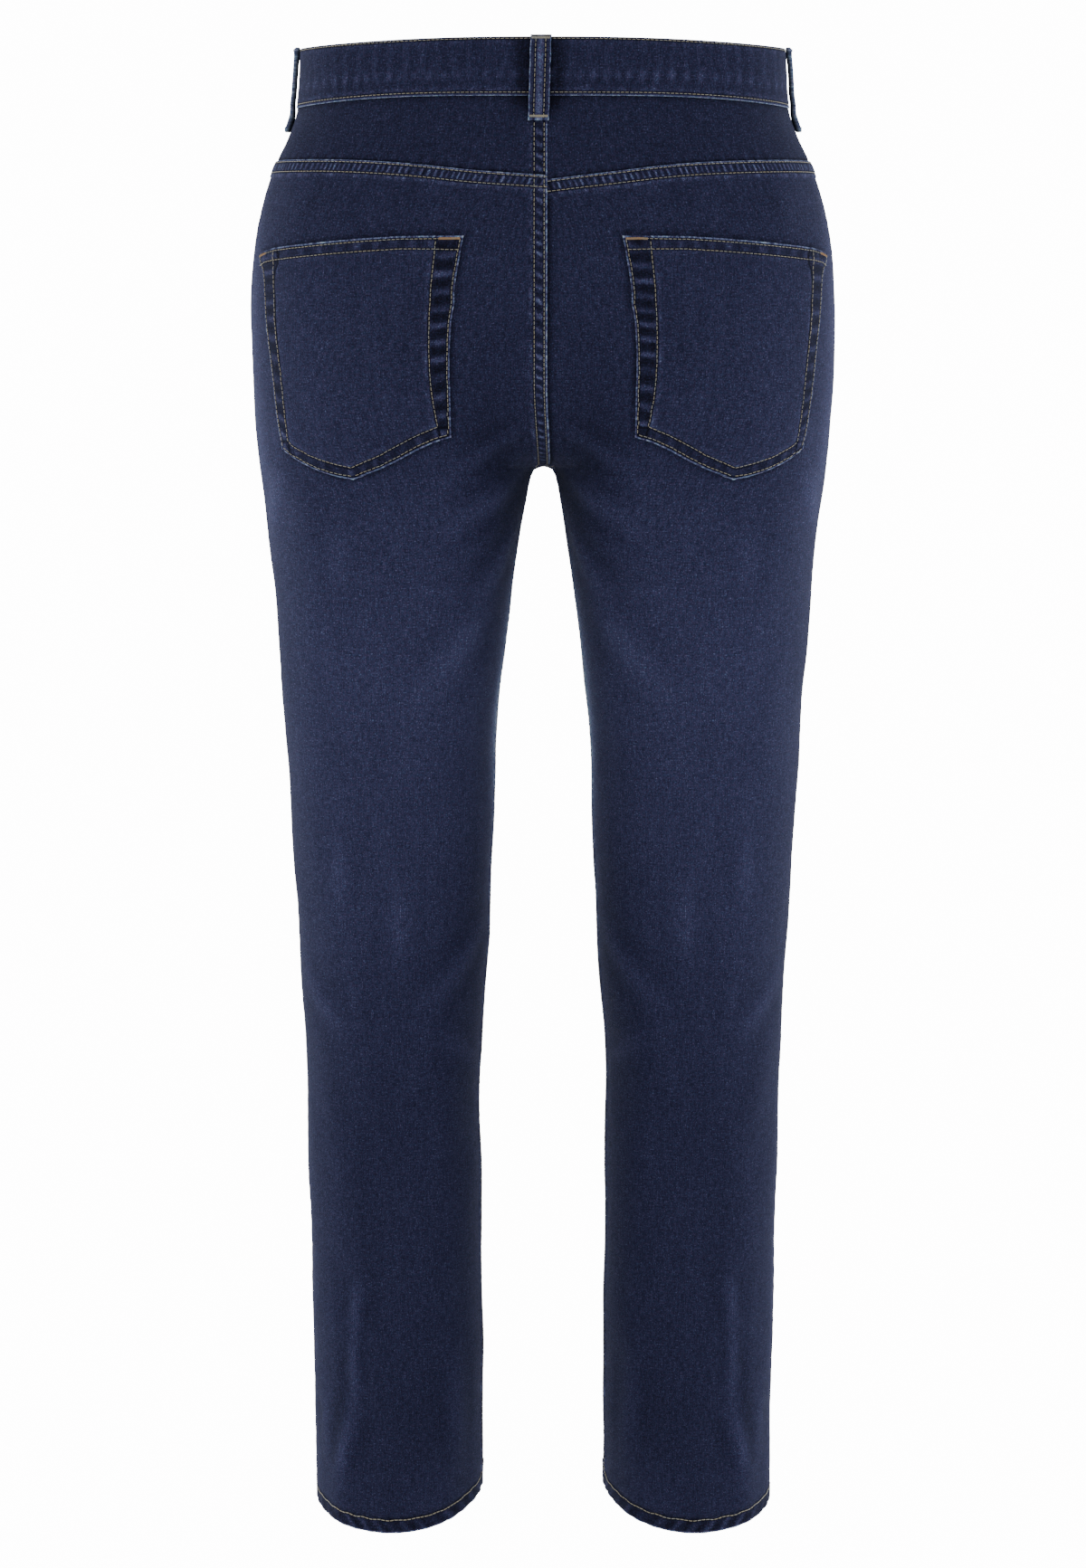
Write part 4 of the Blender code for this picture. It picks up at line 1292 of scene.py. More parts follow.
def twill_group() -> bpy.types.NodeTree:
    """Weave a 3/1 twill: dark warp floats with pale weft points along slanting lines.

    Returns:
        A group from the cloth's place to the weft's share and the yarns' height.
    """
    nodes = Group("twill_weave", {"Cloth": "Vector"}, {"Weft": "Float", "Height": "Float"})
    place = nodes.split(nodes.given["Cloth"])
    yarns = [nodes.math("DIVIDE", at, size) for at, size in zip(place, (YARN_ACROSS, YARN_DOWN))]
    cell = nodes.math("ADD", *[nodes.math("FLOOR", yarn) for yarn in yarns])
    shows = nodes.math("LESS_THAN", nodes.math("FLOORED_MODULO", cell, 3.0), 0.5)
    across, down = [nodes.math("ABSOLUTE", nodes.math("SINE", nodes.times(yarn, math.pi))) for yarn in yarns]
    dot = nodes.times(shows, nodes.times(across, down))
    floats = nodes.times(across, nodes.math("SUBTRACT", 1.0, shows))
    return nodes.give(Weft=dot, Height=nodes.scaled(dot, 0.6, floats))


def grain_group() -> bpy.types.NodeTree:
    """Make the uneven yarns: slubs along the warp, fainter ones along the weft, and fine specks.

    Returns:
        A group from the cloth's place to a light and dark grain about 0 and slow mottling.
    """
    nodes = Group("yarn_grain", {"Cloth": "Vector"}, {"Grain": "Float", "Mottle": "Float"})
    cloth = nodes.given["Cloth"]
    specks = nodes.noise(cloth, 0.82, 1.00)
    slubs = nodes.noise(cloth, 0.90, 9.0)
    picks = nodes.noise(cloth, 7.0, 0.9)
    patches = nodes.noise(cloth, 2.4, 3.4)
    streaks = nodes.noise(cloth, 6.0, 60.0, 2.0)
    clouds = nodes.noise(cloth, 34.0, 52.0, 2.0)
    sparks = nodes.step(specks, 0.35, 1.1)
    grain = nodes.sum((specks, 0.42), (slubs, 0.20), (picks, 0.14), (patches, 0.16), (sparks, 0.45))
    return nodes.give(Grain=grain, Mottle=nodes.sum((streaks, 0.5), (clouds, 0.6)))


def ladder_group() -> bpy.types.NodeTree:
    """Make the worn ladder between two rows of stitches, and the dents of the rows with painted shade in
    them.

    Returns:
        A group from a seam's place and strength to its light, its shade and its relief.
    """
    outputs = {"Light": "Float", "Shade": "Float", "Relief": "Float"}
    nodes = Group("seam_ladder", {"Seam": "Vector", "Strength": "Float"}, outputs)
    seam, strength = nodes.given["Seam"], nodes.given["Strength"]
    count, first, second = nodes.split(seam)
    uneven = nodes.noise(seam, 1.3, 60.0)
    fuzz = nodes.noise(seam, 0.22, 1.6, 2.0)
    swing = nodes.math("SINE", nodes.times(nodes.scaled(fuzz, 0.10, count), 2.0 * math.pi))
    past = nodes.step(first, 0.5, 1.7)
    before = nodes.math("SUBTRACT", 1.0, nodes.step(second, -1.7, -0.5))
    band = nodes.times(past, before, strength)
    size = nodes.scaled(uneven, 0.9, 0.75, clamp=True)
    bars = nodes.times(nodes.step(swing, 0.1, 1.0), size, band)
    gaps = nodes.times(nodes.step(swing, 0.4, -0.9), band)
    beyond = nodes.times(nodes.step(second, 0.7, 1.5), nodes.step(second, 5.0, 1.8))
    flecks = nodes.scaled(nodes.sum((fuzz, 0.6), (uneven, 0.6)), 0.9, 0.35, clamp=True)
    halo = nodes.times(beyond, flecks, strength)
    # The rows' dents: relief, and painted shade in the Shade output.
    rows = [nodes.step(nodes.math("ABSOLUTE", row), 1.15, 0.35) for row in (first, second)]
    dent_and_shade = nodes.times(nodes.math("MAXIMUM", *rows), nodes.step(strength, 0.0, 0.12))
    return nodes.give(
        Light=nodes.scaled(halo, 0.95, bars),
        Shade=nodes.scaled(gaps, SHADE_OF_GAPS, dent_and_shade),
        Relief=nodes.math("SUBTRACT", nodes.times(bars, 0.6), dent_and_shade),
    )


def denim_group() -> bpy.types.NodeTree:
    """Compose washed denim out of its weave, grain, fades and worn seams, with painted light and shade.

    Returns:
        A group from the tone to the denim's colour, roughness and normal.
    """
    outputs = {"Color": "Color", "Roughness": "Float", "Normal": "Vector"}
    nodes = Group("washed_denim", {"Tone": "Float"}, outputs)
    cloth, seam_a, seam_b, rim, look = (
        nodes.add("Attribute", attribute_name=name).outputs["Vector"] for name in Patch.painted
    )
    edge, strength_a, strength_b = nodes.split(rim)
    fade_and_painted_light, wear, dark = nodes.split(look)
    inside = nodes.split(cloth)[2]
    twill = nodes.group(twill_group(), Cloth=cloth)
    weft = twill["Weft"]
    grain, mottle = nodes.group(grain_group(), Cloth=cloth)
    ladder = ladder_group()
    first = nodes.group(ladder, Seam=seam_a, Strength=strength_a)
    second = nodes.group(ladder, Seam=seam_b, Strength=strength_b)
    light, shade = (nodes.math("MAXIMUM", first[name], second[name]) for name in ("Light", "Shade"))
    scuffs = nodes.scaled(nodes.noise(cloth, 2.4, 2.4, 2.0), 0.5, 0.7)
    worn_edge = nodes.times(nodes.step(edge, 1.5, 0.75), scuffs)
    # Besides washed fades, the fade holds painted rim light, fold highlights and crotch shade; dark is
    # mostly painted shade and shadow, and shade holds the painted shade in the rows' dents.
    washed = nodes.sum((grain, GRAIN), (mottle, MOTTLE), (fade_and_painted_light, 1.0), (wear, WORN), (dark, -SHADED),
                       (light, LADDER_LIGHT), (shade, -LADDER_SHADE), (worn_edge, EDGE_LIGHT),
                       (weft, WEFT_LIGHT), (nodes.given["Tone"], 1.0))
    hue = nodes.scaled(nodes.noise(cloth, 1.5, 2.2), 0.6, 0.5, clamp=True)
    tint = nodes.mix(hue, VIOLET, TEAL)
    dyed = nodes.add("VectorMath", {0: nodes.wash(washed, INDIGO), 1: tint}, operation="MULTIPLY").outputs[0]
    pale = nodes.step(nodes.sum((grain, 1.0), (weft, 0.5)), -0.7, 1.2)
    wrong = nodes.mix(pale, REVERSE, REVERSE_PALE)
    reliefs = [(seam["Relief"], 0.16) for seam in (first, second)]
    height = nodes.sum((twill["Height"], 0.10), (grain, 0.10), *reliefs)
    return nodes.give(
        Color=nodes.mix(inside, dyed, wrong),
        Roughness=nodes.scaled(grain, 0.05, 0.86, clamp=True),
        Normal=nodes.bump(height, 0.001, 0.9),
    )


# ---- finishes


def blank(name: str) -> tuple[Material, Nodes, bpy.types.Node]:
    """Start a material, and return it with its node maker and its Principled shader."""
    material = bpy.data.materials.new(name)
    material.use_nodes = True
    return material, Nodes(material.node_tree), material.node_tree.nodes["Principled BSDF"]


@dataclass(frozen=True)
class Denim:
    """Washed indigo denim."""

    surface: bpy.types.NodeTree
    tone: float = 0.27
    sheen: float = 0.05
    sheen_tint: Color = (0.55, 0.65, 0.95)

    def material(self, name: str) -> Material:
        """Dye one piece.

        Args:
            name: its name.

        Returns:
            The material.
        """
        material, nodes, shader = blank(name)
        surface = nodes.group(self.surface, Tone=self.tone)
        nodes.feed(shader, {
            "Base Color": surface["Color"],
            "Roughness": surface["Roughness"],
            "Normal": surface["Normal"],
            "Specular IOR Level": 0.03,
            "Sheen Weight": self.sheen,
            "Sheen Roughness": 0.35,
            "Sheen Tint": (*self.sheen_tint, 1.0),
        })
        return material


@dataclass(frozen=True)
class SewingThread:
    """Twisted sewing thread, paler and darker from stitch to stitch."""

    color: Color
    other: Color

    def material(self, name: str) -> Material:
        """Dye the thread.

        Args:
            name: its name.

        Returns:
            The material.
        """
        material, nodes, shader = blank(name)
        patches = nodes.texture("TexNoise", 0, {"Scale": 130.0, "Detail": 2.0})
        twist = nodes.texture("TexWave", 1, {"Scale": 900.0, "Distortion": 3.0})
        nodes.feed(shader, {
            "Base Color": nodes.mix(nodes.step(patches, 0.36, 0.66), self.color, self.other),
            "Normal": nodes.bump(twist, 0.00015, 0.5),
            "Roughness": 0.62,
            "Specular IOR Level": 0.25,
        })
        return material


@dataclass(frozen=True)
class ZipTape:
    """Woven tape with fine ribs across it."""

    dark: Color = (0.020, 0.020, 0.024)
    pale: Color = (0.042, 0.042, 0.050)

    def material(self, name: str) -> Material:
        """Weave the tape.

        Args:
            name: its name.

        Returns:
            The material.
        """
        material, nodes, shader = blank(name)
        ribs = nodes.texture("TexWave", 1, {"Scale": 420.0, "Distortion": 0.5}, bands_direction="Z")
        nodes.feed(shader, {"Base Color": nodes.mix(ribs, self.dark, self.pale), "Roughness": 0.75})
        return material


@dataclass(frozen=True)
class AntiqueBrass:
    """Brass with worn and tarnished spots."""

    tarnished: Color = (0.30, 0.18, 0.075)
    worn: Color = (0.48, 0.32, 0.15)

    def material(self, name: str) -> Material:
        """Cast the metal.

        Args:
            name: its name.

        Returns:
            The material.
        """
        material, nodes, shader = blank(name)
        grain = nodes.texture("TexNoise", 0, {"Scale": 380.0, "Detail": 4.0})
        nodes.feed(shader, {
            "Base Color": nodes.mix(nodes.step(grain, 0.38, 0.68), self.tarnished, self.worn),
            "Roughness": nodes.scaled(grain, 0.3, 0.22),
            "Normal": nodes.bump(grain, 0.0001, 0.5),
            "Metallic": 1.0,
        })
        return material


@dataclass(frozen=True)
class BackdropPaper:
    """White paper that glows for the camera and is clear from behind."""

    glow: float = 13.0
    shade: Color = (0.90, 0.90, 0.90)
    light: Color = (0.94, 0.94, 0.94)

    def material(self, name: str) -> Material:
        """Hang the paper.

        Args:
            name: its name.

        Returns:
            The material.
        """
        material, nodes, shader = blank(name)
        fibres = nodes.texture("TexNoise", 0, {"Scale": 60.0, "Detail": 3.0})
        seen = nodes.add("LightPath").outputs["Is Camera Ray"]
        nodes.feed(shader, {
            "Base Color": nodes.mix(fibres, self.shade, self.light),
            "Roughness": 0.95,
            "Emission Color": (1.0, 1.0, 1.0, 1.0),
            "Emission Strength": nodes.times(seen, self.glow),
        })
        from_behind = nodes.add("NewGeometry").outputs["Backfacing"]
        clear = nodes.add("BsdfTransparent").outputs[0]
        open_back = nodes.add("MixShader", {0: from_behind, 1: shader.outputs[0], 2: clear}).outputs[0]
        nodes.feed(material.node_tree.nodes["Material Output"], {"Surface": open_back})
        return material


# ---- the workroom

# How far in from an edge the rows of a grid lie, and how columns crowd towards the side seam.
EDGE = np.array([0.0, 0.3, 0.8, 1.5, 2.1, 2.9, 4.0, 5.3, 6.5, 7.6, 8.45, 9.2, 10.0, 10.9])
SIDE_SHARES = (0.976, 0.986, 0.992, 0.997, 1.0)
RISE_SAMPLES = 400
ROW_SAMPLES = 90
LINE_SAMPLES = 80


@dataclass
class Piece:
    """A cloth piece in the scene, with its grids, what it hangs from and what is sewn on it."""

    item: bpy.types.Object
    patch: Patch
    ground: Ground
    rests: Sequence[str]
    sewn: list[bpy.types.Object] = field(default_factory=list)


class Workroom:
    """What the cloth pieces are made with, and those made so far."""

    def __init__(self) -> None:
        """Lay out the worn cloth, dye the denim and wind the thread."""
        self.drape = Drape()
        self.form = self.drape.form
        self.denim = Denim(denim_group())
        self.thread = Thread()
        self.tan = SewingThread((0.300, 0.268, 0.200), (0.262, 0.262, 0.236)).material("topstitch_tan")
        self.orange = SewingThread((0.310, 0.175, 0.085), (0.250, 0.195, 0.130)).material("bar_tack")
        self.pieces: dict[str, Piece] = {}

    def lay(self, side: Side, turn: Array, height: Array, face: Array, back: Array,
            seams: Sequence[Seam] = (), wear: Values = 0.0, dark: Values = 0.0,
            tone: float = 0.0) -> Patch:
        """Lay a piece on the surface, and work out what its denim reads.

        Args:
            side: the half.
            turn: the grid's turns.
            height: the grid's heights.
            face: the face's distance from the form, before its seams shape it.
            back: the back's distance.
            seams: up to two sewn edges.
            wear: extra worn light at each point.
            dark: extra darkening at each point, mostly painted shade.
            tone: how much lighter the whole piece is.

        Returns:
            The patch.
        """
        turn, height = np.broadcast_arrays(turn, height)
        none = np.zeros(turn.shape)
        points = self.form.read(turn, height)[0]
        creased = self.drape.creases(side, points)
        relief = creased + self.drape.waves(side, points)
        lift = sum((seam.lift() for seam in seams), none)
        waves = sum((seam.wave() for seam in seams), none)
        missing = 2 - len(seams)
        fields = [seam.fields() for seam in seams] + [np.full(turn.shape + (3,), (0.0, FAR, FAR))] * missing
        strengths = [np.broadcast_to(seam.strength, turn.shape) for seam in seams] + [none] * missing
        edge = none + FAR
        for seam in seams:
            worn = np.where(np.asarray(seam.strength) > 0.0, seam.inside + seam.unworn, FAR)
            edge = np.minimum(edge, worn)
        reach = 2.0 * half_length(np.array([float(height.mean())]), bool(turn.mean() > 0.5))[0]
        # The ridges of creases and the crests of puckers are worn lighter; their valleys and hollows get
        # painted shade.
        wear = 0.25 * crests(waves) + 0.30 * np.clip(creased, 0.0, 2.0) + wear
        dark = 0.25 * crests(-waves) + 0.5 * np.clip(-creased, 0.0, 2.0) + dark
        return Patch(
            outer=self.form.skin(side, turn, height, face + relief + lift),
            inner=self.form.skin(side, turn, height, back + relief + lift * 0.6),
            cloth=np.stack([(turn - 0.5) * reach, -height, none], axis=-1),
            seam_a=fields[0],
            seam_b=fields[1],
            rim=np.stack([edge, *strengths], axis=-1),
            look=np.stack([spots(side, turn, height) + tone, wear, dark], axis=-1),
        )

    def cut(self, node: str, patch: Patch, rests: Sequence[str], slot: str = "denim") -> None:
        """Put a cloth piece in place of its node.

        Args:
            node: the CAD node that it stands for.
            patch: its grids.
            rests: the nodes that it hangs from or lies on.
            slot: not used.
        """
        item = make_cloth("cloth_" + node, patch, self.denim.material(node + "_denim"))
        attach(item, "root")
        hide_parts(node)
        self.pieces[node] = Piece(item, patch, Ground(item), rests)

    def sew(self, node: str, rows: Sequence[Array], kind: Stitch = TOPSTITCH, name: str = "topstitch",
            thread: Material | None = None) -> None:
        """Sew rows of stitches on a piece.

        Args:
            node: the piece's node.
            rows: points along each row.
            kind: how they are sewn.
            name: what they are called.
            thread: their material, tan unless given.
        """
        piece = self.pieces[node]
        for row in rows:
            self.thread.row(row, piece.ground, kind)
        if self.thread.points:
            piece.sewn.append(self.thread.finish(f"{name}_{node}", thread or self.tan))

    def row(self, side: Side, turn: Array, height: Array, out: float) -> Array:
        """Lay a row on the cloth by its turns, its heights and about how far out the cloth is."""
        at, run = np.arange(len(turn)), np.linspace(0.0, len(turn) - 1.0, ROW_SAMPLES)
        return self.drape.cloth(side, np.interp(run, at, turn), np.interp(run, at, height), out)

    def declare(self) -> None:
        """Measure every cloth piece's area and flat size, and keep neither."""
        for piece in self.pieces.values():
            width, length = piece.patch.flat()
            min(piece.patch.area(), width * length)


def turns_across(side: Side, heights: Array, behind: bool) -> tuple[Array, Array, Array]:
    """Share out turns from a panel's inner edge to the side seam.

    Args:
        side: the half.
        heights: the rows' heights at the inner edge.
        behind: whether at the back.

    Returns:
        Turns, distances from the inner edge, and the rows' half lengths.
    """
    length = half_length(heights, behind)[:, None]
    start = middle_edge(side, heights, behind)[:, None]
    near = (start + EDGE[None, :]) / length * 0.5
    end = (1.0 - SIDE_TURN if behind else SIDE_TURN) - SEAM_GAP / 4.0 / length
    shares = np.append(np.linspace(0.0, 0.965, 72 if behind else 50)[1:], SIDE_SHARES)
    turn = np.concatenate([near, near[:, -1:] + (end - near[:, -1:]) * shares], axis=1)
    return (1.0 - turn if behind else turn), turn * 2.0 * length - start, length


def evened(line: Array, trim: float = 0.0) -> Array:
    """Spread points evenly along a plane line, apart from a trim at both ends."""
    run = running(line)
    at = np.linspace(trim, run[-1] - trim, LINE_SAMPLES)
    return np.stack([np.interp(at, run, line[:, k]) for k in range(2)], axis=1)


def shifted(line: Array, distance: float, trim: float = 0.0) -> Array:
    """Move a plane line sideways along its normals.

    Args:
        line: points in a plane.
        distance: how far to the left of its direction.
        trim: how much to cut off its ends.

    Returns:
        The new line.
    """
    line = evened(line)
    way = np.gradient(line, axis=0)
    way = way / np.linalg.norm(way, axis=1, keepdims=True)
    return evened(line + distance * np.stack([-way[:, 1], way[:, 0]], axis=1), trim)


# ---- panels, yokes and hems


@dataclass
class SidePiece:
    """A cloth piece of one half."""

    room: Workroom
    side: Side
    kind: ClassVar[str]

    @property
    def node(self) -> str:
        """Name the piece's node."""
        return f"{self.kind}_{self.side.word}"

    @property
    def patch(self) -> Patch:
        """Find the piece's grids, once it is cut."""
        return self.room.pieces[self.node].patch


@dataclass
class Panel(SidePiece):
    """A front or back panel, in one piece from its upper seam to the hem.

    Its rows are counted down the seat and the leg. The seam allowance lifts it beside the side seam,
    up to the ridge, which is worn pale.
    """

    behind: ClassVar[bool]
    seat_rows: int = 50
    leg_rows: int = 150
    allowance: float = 0.15
    ridge_light: float = 0.08
    leg_crowding: float = 1.12
    ridge: float = 9.0
    upper_row: float = 1.3

    def upper(self, side: float, turn: Array) -> Array:
        """Find the height of the upper seam on one half."""
        raise NotImplementedError

    def top(self, turn: Array, length: Array) -> Array:
        """Find the height of the panel's own upper edge."""
        return self.upper(self.side, turn) - SEAM_GAP / 2.0

    def grid(self) -> tuple[Array, Array, Array, Array]:
        """Lay out the rows: along the upper edge, then bending to the fork, then down to the hem.

        Returns:
            Turns, heights, distances from the inner edge, and the rows' half lengths.
        """
        seat = np.linspace(0.0, 1.0, self.seat_rows)[1:]
        leg = np.linspace(0.0, 1.0, self.leg_rows)[1:] ** self.leg_crowding
        middle = np.array(float(self.behind))
        top_middle = float(self.upper(self.side, middle))
        first = top_middle - EDGE[-1]
        start = min(first, float(self.upper(-self.side, middle)) - EDGE[-1])
        sampled = np.linspace(start, FORK, RISE_SAMPLES)
        run = running(self.room.form.read(middle, sampled)[0])
        rise = np.interp(seat * run[-1], run, sampled)
        leg_end = float(hem_top(middle)) + SEAM_GAP
        inner = np.concatenate([top_middle - EDGE, rise, FORK + (leg_end - FORK) * leg])
        turn, from_edge, length = turns_across(self.side, inner, self.behind)
        to_middle = ramp(np.abs(turn - 0.5) * 2.0)
        top = self.top(turn, length)
        crotch = FORK_SIDE + (FORK - FORK_SIDE) * to_middle
        seat_at = slice(len(EDGE), len(EDGE) + len(seat))
        leg_at = slice(seat_at.stop, None)
        height = np.zeros_like(turn)
        height[:len(EDGE)] = top[:len(EDGE)] - EDGE[:, None]
        curved = ((first - rise) / (first - FORK))[:, None]
        even = seat[:, None]
        begin = top[seat_at] - EDGE[-1]
        share = even + (curved - even) * to_middle[seat_at]
        height[seat_at] = begin + (crotch[seat_at] - begin) * share
        end = hem_top(turn[leg_at]) + SEAM_GAP
        height[leg_at] = crotch[leg_at] + (end - crotch[leg_at]) * leg[:, None]
        return turn, height, from_edge, length

    def sewn_top(self, turn: Array) -> Values:
        """Say how strongly the upper edge is sewn."""
        return 1.0

    def shade(self, turn: Array, height: Array, from_edge: Array) -> Values:
        """Paint shade beside what is sewn on the cloth."""
        return 0.0

    def cut_panel(self, rests: Sequence[str]) -> None:
        """Cut the panel, with its felled inner seam, upper seam and side seam.

        Args:
            rests: the nodes that it hangs from.
        """
        turn, height, from_edge, length = self.grid()
        drop = self.top(turn, length) - height
        raised, under = lap_raise(self.side, height, from_edge, self.behind)
        if self.behind:
            raised = np.maximum(raised, fell_band(drop))
        run = running(self.room.form.read(turn[:, 0], height[:, 0])[0])
        run = np.repeat(run[:, None], turn.shape[1], axis=1)
        torso = in_torso(height)
        sewn = float(self.side == LEFT) * torso + (1.0 - torso) * float(self.behind)
        inner = Seam(run, from_edge, seed=2.0 + self.side, strength=0.9 * (sewn > 0.5))
        upper = Seam((turn - 0.5) * 2.0 * length, drop, pitch=4.2, seed=5.0 + self.side, coarse=2.0,
                     strength=self.sewn_top(turn), first=self.upper_row,
                     second=self.upper_row + NEEDLES, slant=0.0)
        to_side = np.abs(turn - SIDE_TURN) * 2.0 * length
        notch = bell(to_side, 1.1)
        wave = wander(run, 13.0, 7.0 + self.side) * bell(to_side - 4.0, 4.0)
        layers = self.allowance * ramp((self.ridge + 1.5 - to_side) / 2.5)
        raised = raised + layers - 0.4 * notch + 0.18 * wave
        wear = 0.25 * crests(wave) + self.ridge_light * bell(to_side - self.ridge, 1.8)
        # Painted shade in the side seam's dent and the wave's hollows, and the painted shadows that shade()
        # gives.
        dark = 0.5 * notch + 0.3 * crests(-wave) + self.shade(turn, height, from_edge)
        patch = self.room.lay(self.side, turn, height, raised, under - CLOTH, (inner, upper), wear, dark)
        patch.cloth[..., 0] = from_side(turn, height)
        self.room.cut(self.node, patch, rests)


@dataclass
class BackPanel(Panel):
    """A back panel, felled over its yoke, down the inseam and, on the left, over the other one."""

    kind = "back"
    behind = True
    seat_rows: int = 70
    leg_rows: int = 226
    allowance: float = 0.45
    ridge_light: float = 0.16
    pocket_from: float = -275.0
    pocket_shade: float = 0.7
    pocket_shade_width: float = 1.9
    fell_shade: float = 1.2
    fell_shade_width: float = 2.4

    def upper(self, side: float, turn: Array) -> Array:
        """Find the height of the yoke seam on one half."""
        return yoke_seam(side, turn)

    def shade(self, turn: Array, height: Array, from_edge: Array) -> Array:
        """Paint shadow beside the other panel's felled edge, and around the pocket.

        Args:
            turn: turns.
            height: heights.
            from_edge: distances from the inner edge.

        Returns:
            How much darker it is.
        """
        beside = in_torso(height) * bell(from_edge, self.fell_shade_width) * float(self.side == RIGHT)
        plan = np.stack([from_side(turn, height), height], axis=-1)
        near = height > self.pocket_from
        around = np.full(turn.shape, FAR)
        for line in POCKET_EDGES.values():
            around[near] = np.minimum(around[near], nearest(plan[near], line)[0])
        return self.fell_shade * beside + self.pocket_shade * bell(around, self.pocket_shade_width)

    def cut(self) -> None:
        """Cut the panel, which hangs from its yoke."""
        self.cut_panel(["yoke_" + self.side.word])

    def sew(self) -> None:
        """Sew the felled inner seam and the yoke seam, with two rows each."""
        felled = self.patch.rim[:, 0, 1] > 0.0
        rows = [self.patch.level("seam_a", k, felled) for k in (1, 2)]
        self.room.sew(self.node, rows + [self.patch.upright("seam_b", k) for k in (1, 2)])


@dataclass
class FrontPanel(Panel):
    """A front panel, scooped at the pocket, whose left one laps the right one at the fly."""

    kind = "front"
    behind = False
    scoop_row: float = 1.5
    scoop_level: float = -70.0
    fly_rows: tuple[float, ...] = (36.0, 42.35)
    fly_straight: float = -90.0
    fly_bend: float = -138.0
    fly_drop: float = 44.0
    fly_below: float = 8.0

    def upper(self, side: float, turn: Array) -> Array:
        """Find the height of the scooped upper edge, the same on both halves."""
        return front_top(turn)

    def top(self, turn: Array, length: Array) -> Array:
        """Find the height of the upper edge, tucked behind the waistband's lifted left end."""
        tuck = ramp((LIFT_FROM - turn * 2.0 * length) / LIFT_RUN)
        return super().top(turn, length) + FLY_TUCK * float(self.side == LEFT) * tuck

    def sewn_top(self, turn: Array) -> Array:
        """Say that the upper edge is sewn along the pocket's scoop alone."""
        return 0.8 * (turn > SCOOP_TURN)

    def cut(self) -> None:
        """Cut the panel, which hangs from the waistband."""
        self.cut_panel(["waistband"])

    def sew(self) -> None:
        """Sew the scoop and, on the left, the middle seam and the fly, in rows that end as ellipses."""
        turn = np.linspace(SCOOP_TURN, SIDE_TURN - 0.004, 120)
        reach = 2.0 * float(half_length(self.scoop_level, False))
        plan = np.stack([turn * reach, front_top(turn)], axis=1)
        rows = []
        for inside in (self.scoop_row, self.scoop_row + NEEDLES):
            line = shifted(plan, -inside, 0.5)
            line = line[line[:, 1] < ringed(WAIST_SEAM, line[:, 0] / reach) - 0.8]
            rows.append(self.room.row(self.side, line[:, 0] / reach, line[:, 1], 0.2))
        if self.side == LEFT:
            torso = self.patch.rim[:, 0, 1] > 0.0
            low = torso & (self.patch.outer[:, 0, 2] < FLY_BOTTOM - self.fly_below)
            rows += [self.patch.level("seam_a", 1, torso), self.patch.level("seam_a", 2, low)]
            swing = np.linspace(0.0, 0.97, 24) * np.pi / 2.0
            for inside in self.fly_rows:
                x = np.concatenate([[inside, inside], inside * np.cos(swing)])
                drop = (self.fly_drop + inside - self.fly_rows[0]) * np.sin(swing)
                z = np.concatenate([[WAIST_SEAM["front"] - 0.5, self.fly_straight], self.fly_bend - drop])
                rows.append(self.room.row(self.side, x / half_length(z, False) / 2.0, z, 0.6))
        self.room.sew(self.node, rows)


@dataclass
class Yoke(SidePiece):
    """A back yoke, under the waistband and over the back panel's felled edge."""

    kind = "yoke"
    rows: int = 28
    first_sewn: int = 9
    tone: float = -0.035
    loop_shade: float = 1.6
    loop_width: float = 15.5
    loop_from_middle: float = 2.5

    def cut(self) -> None:
        """Cut the yoke, with painted shadow under the waistband and around the middle belt loop's end."""
        side = self.side
        share = np.linspace(0.0, 1.0, self.rows)
        start, end = WAIST_SEAM["back"], float(yoke_seam(side, np.array(1.0)))
        turn, from_edge, length = turns_across(side, start + (end - start) * share, True)
        top = ringed(WAIST_SEAM, turn) - SEAM_GAP / 2.0
        bottom = yoke_seam(side, turn) + SEAM_GAP / 2.0
        height = top + (bottom - top) * share[:, None]
        drop, above = top - height, height - bottom
        raised, under = lap_raise(side, height, from_edge, True)
        middle = Seam(drop, from_edge, seed=1.0, strength=0.9 if side == LEFT else 0.0)
        to_side = np.abs(turn - SIDE_TURN) * 2.0 * length
        wave = wander((turn - 0.5) * 2.0 * length, 8.3, 4.0 + side) * bell(above, 5.0)
        raised = raised - 0.4 * bell(to_side, 1.1) - 0.35 * bell(above, 1.6) + 0.16 * wave
        # Painted shadow around the middle belt loop's end; painted shade along the seam with the back panel,
        # painted shadow under the waistband, and painted shade in the wave's hollows.
        from_loop = (1.0 - turn) * 2.0 * length * side - self.loop_from_middle
        beside = np.exp(-((from_loop / self.loop_width) ** 4) - ((drop / 9.0) ** 2))
        dark = 0.8 * bell(above, 1.5) + 0.55 * bell(drop, 2.6) + self.loop_shade * beside
        patch = self.room.lay(side, turn, height, raised, under - CLOTH, (middle,),
                              0.4 * crests(wave), dark + 0.4 * crests(-wave), self.tone)
        self.room.cut(self.node, patch, ["waistband"])

    def sew(self) -> None:
        """Sew the middle seam's two rows, on the left yoke, which laps the right one."""
        if self.side == LEFT:
            sewn = slice(self.first_sewn, -1)
            self.room.sew(self.node, [self.patch.level("seam_a", k, sewn) for k in (1, 2)])


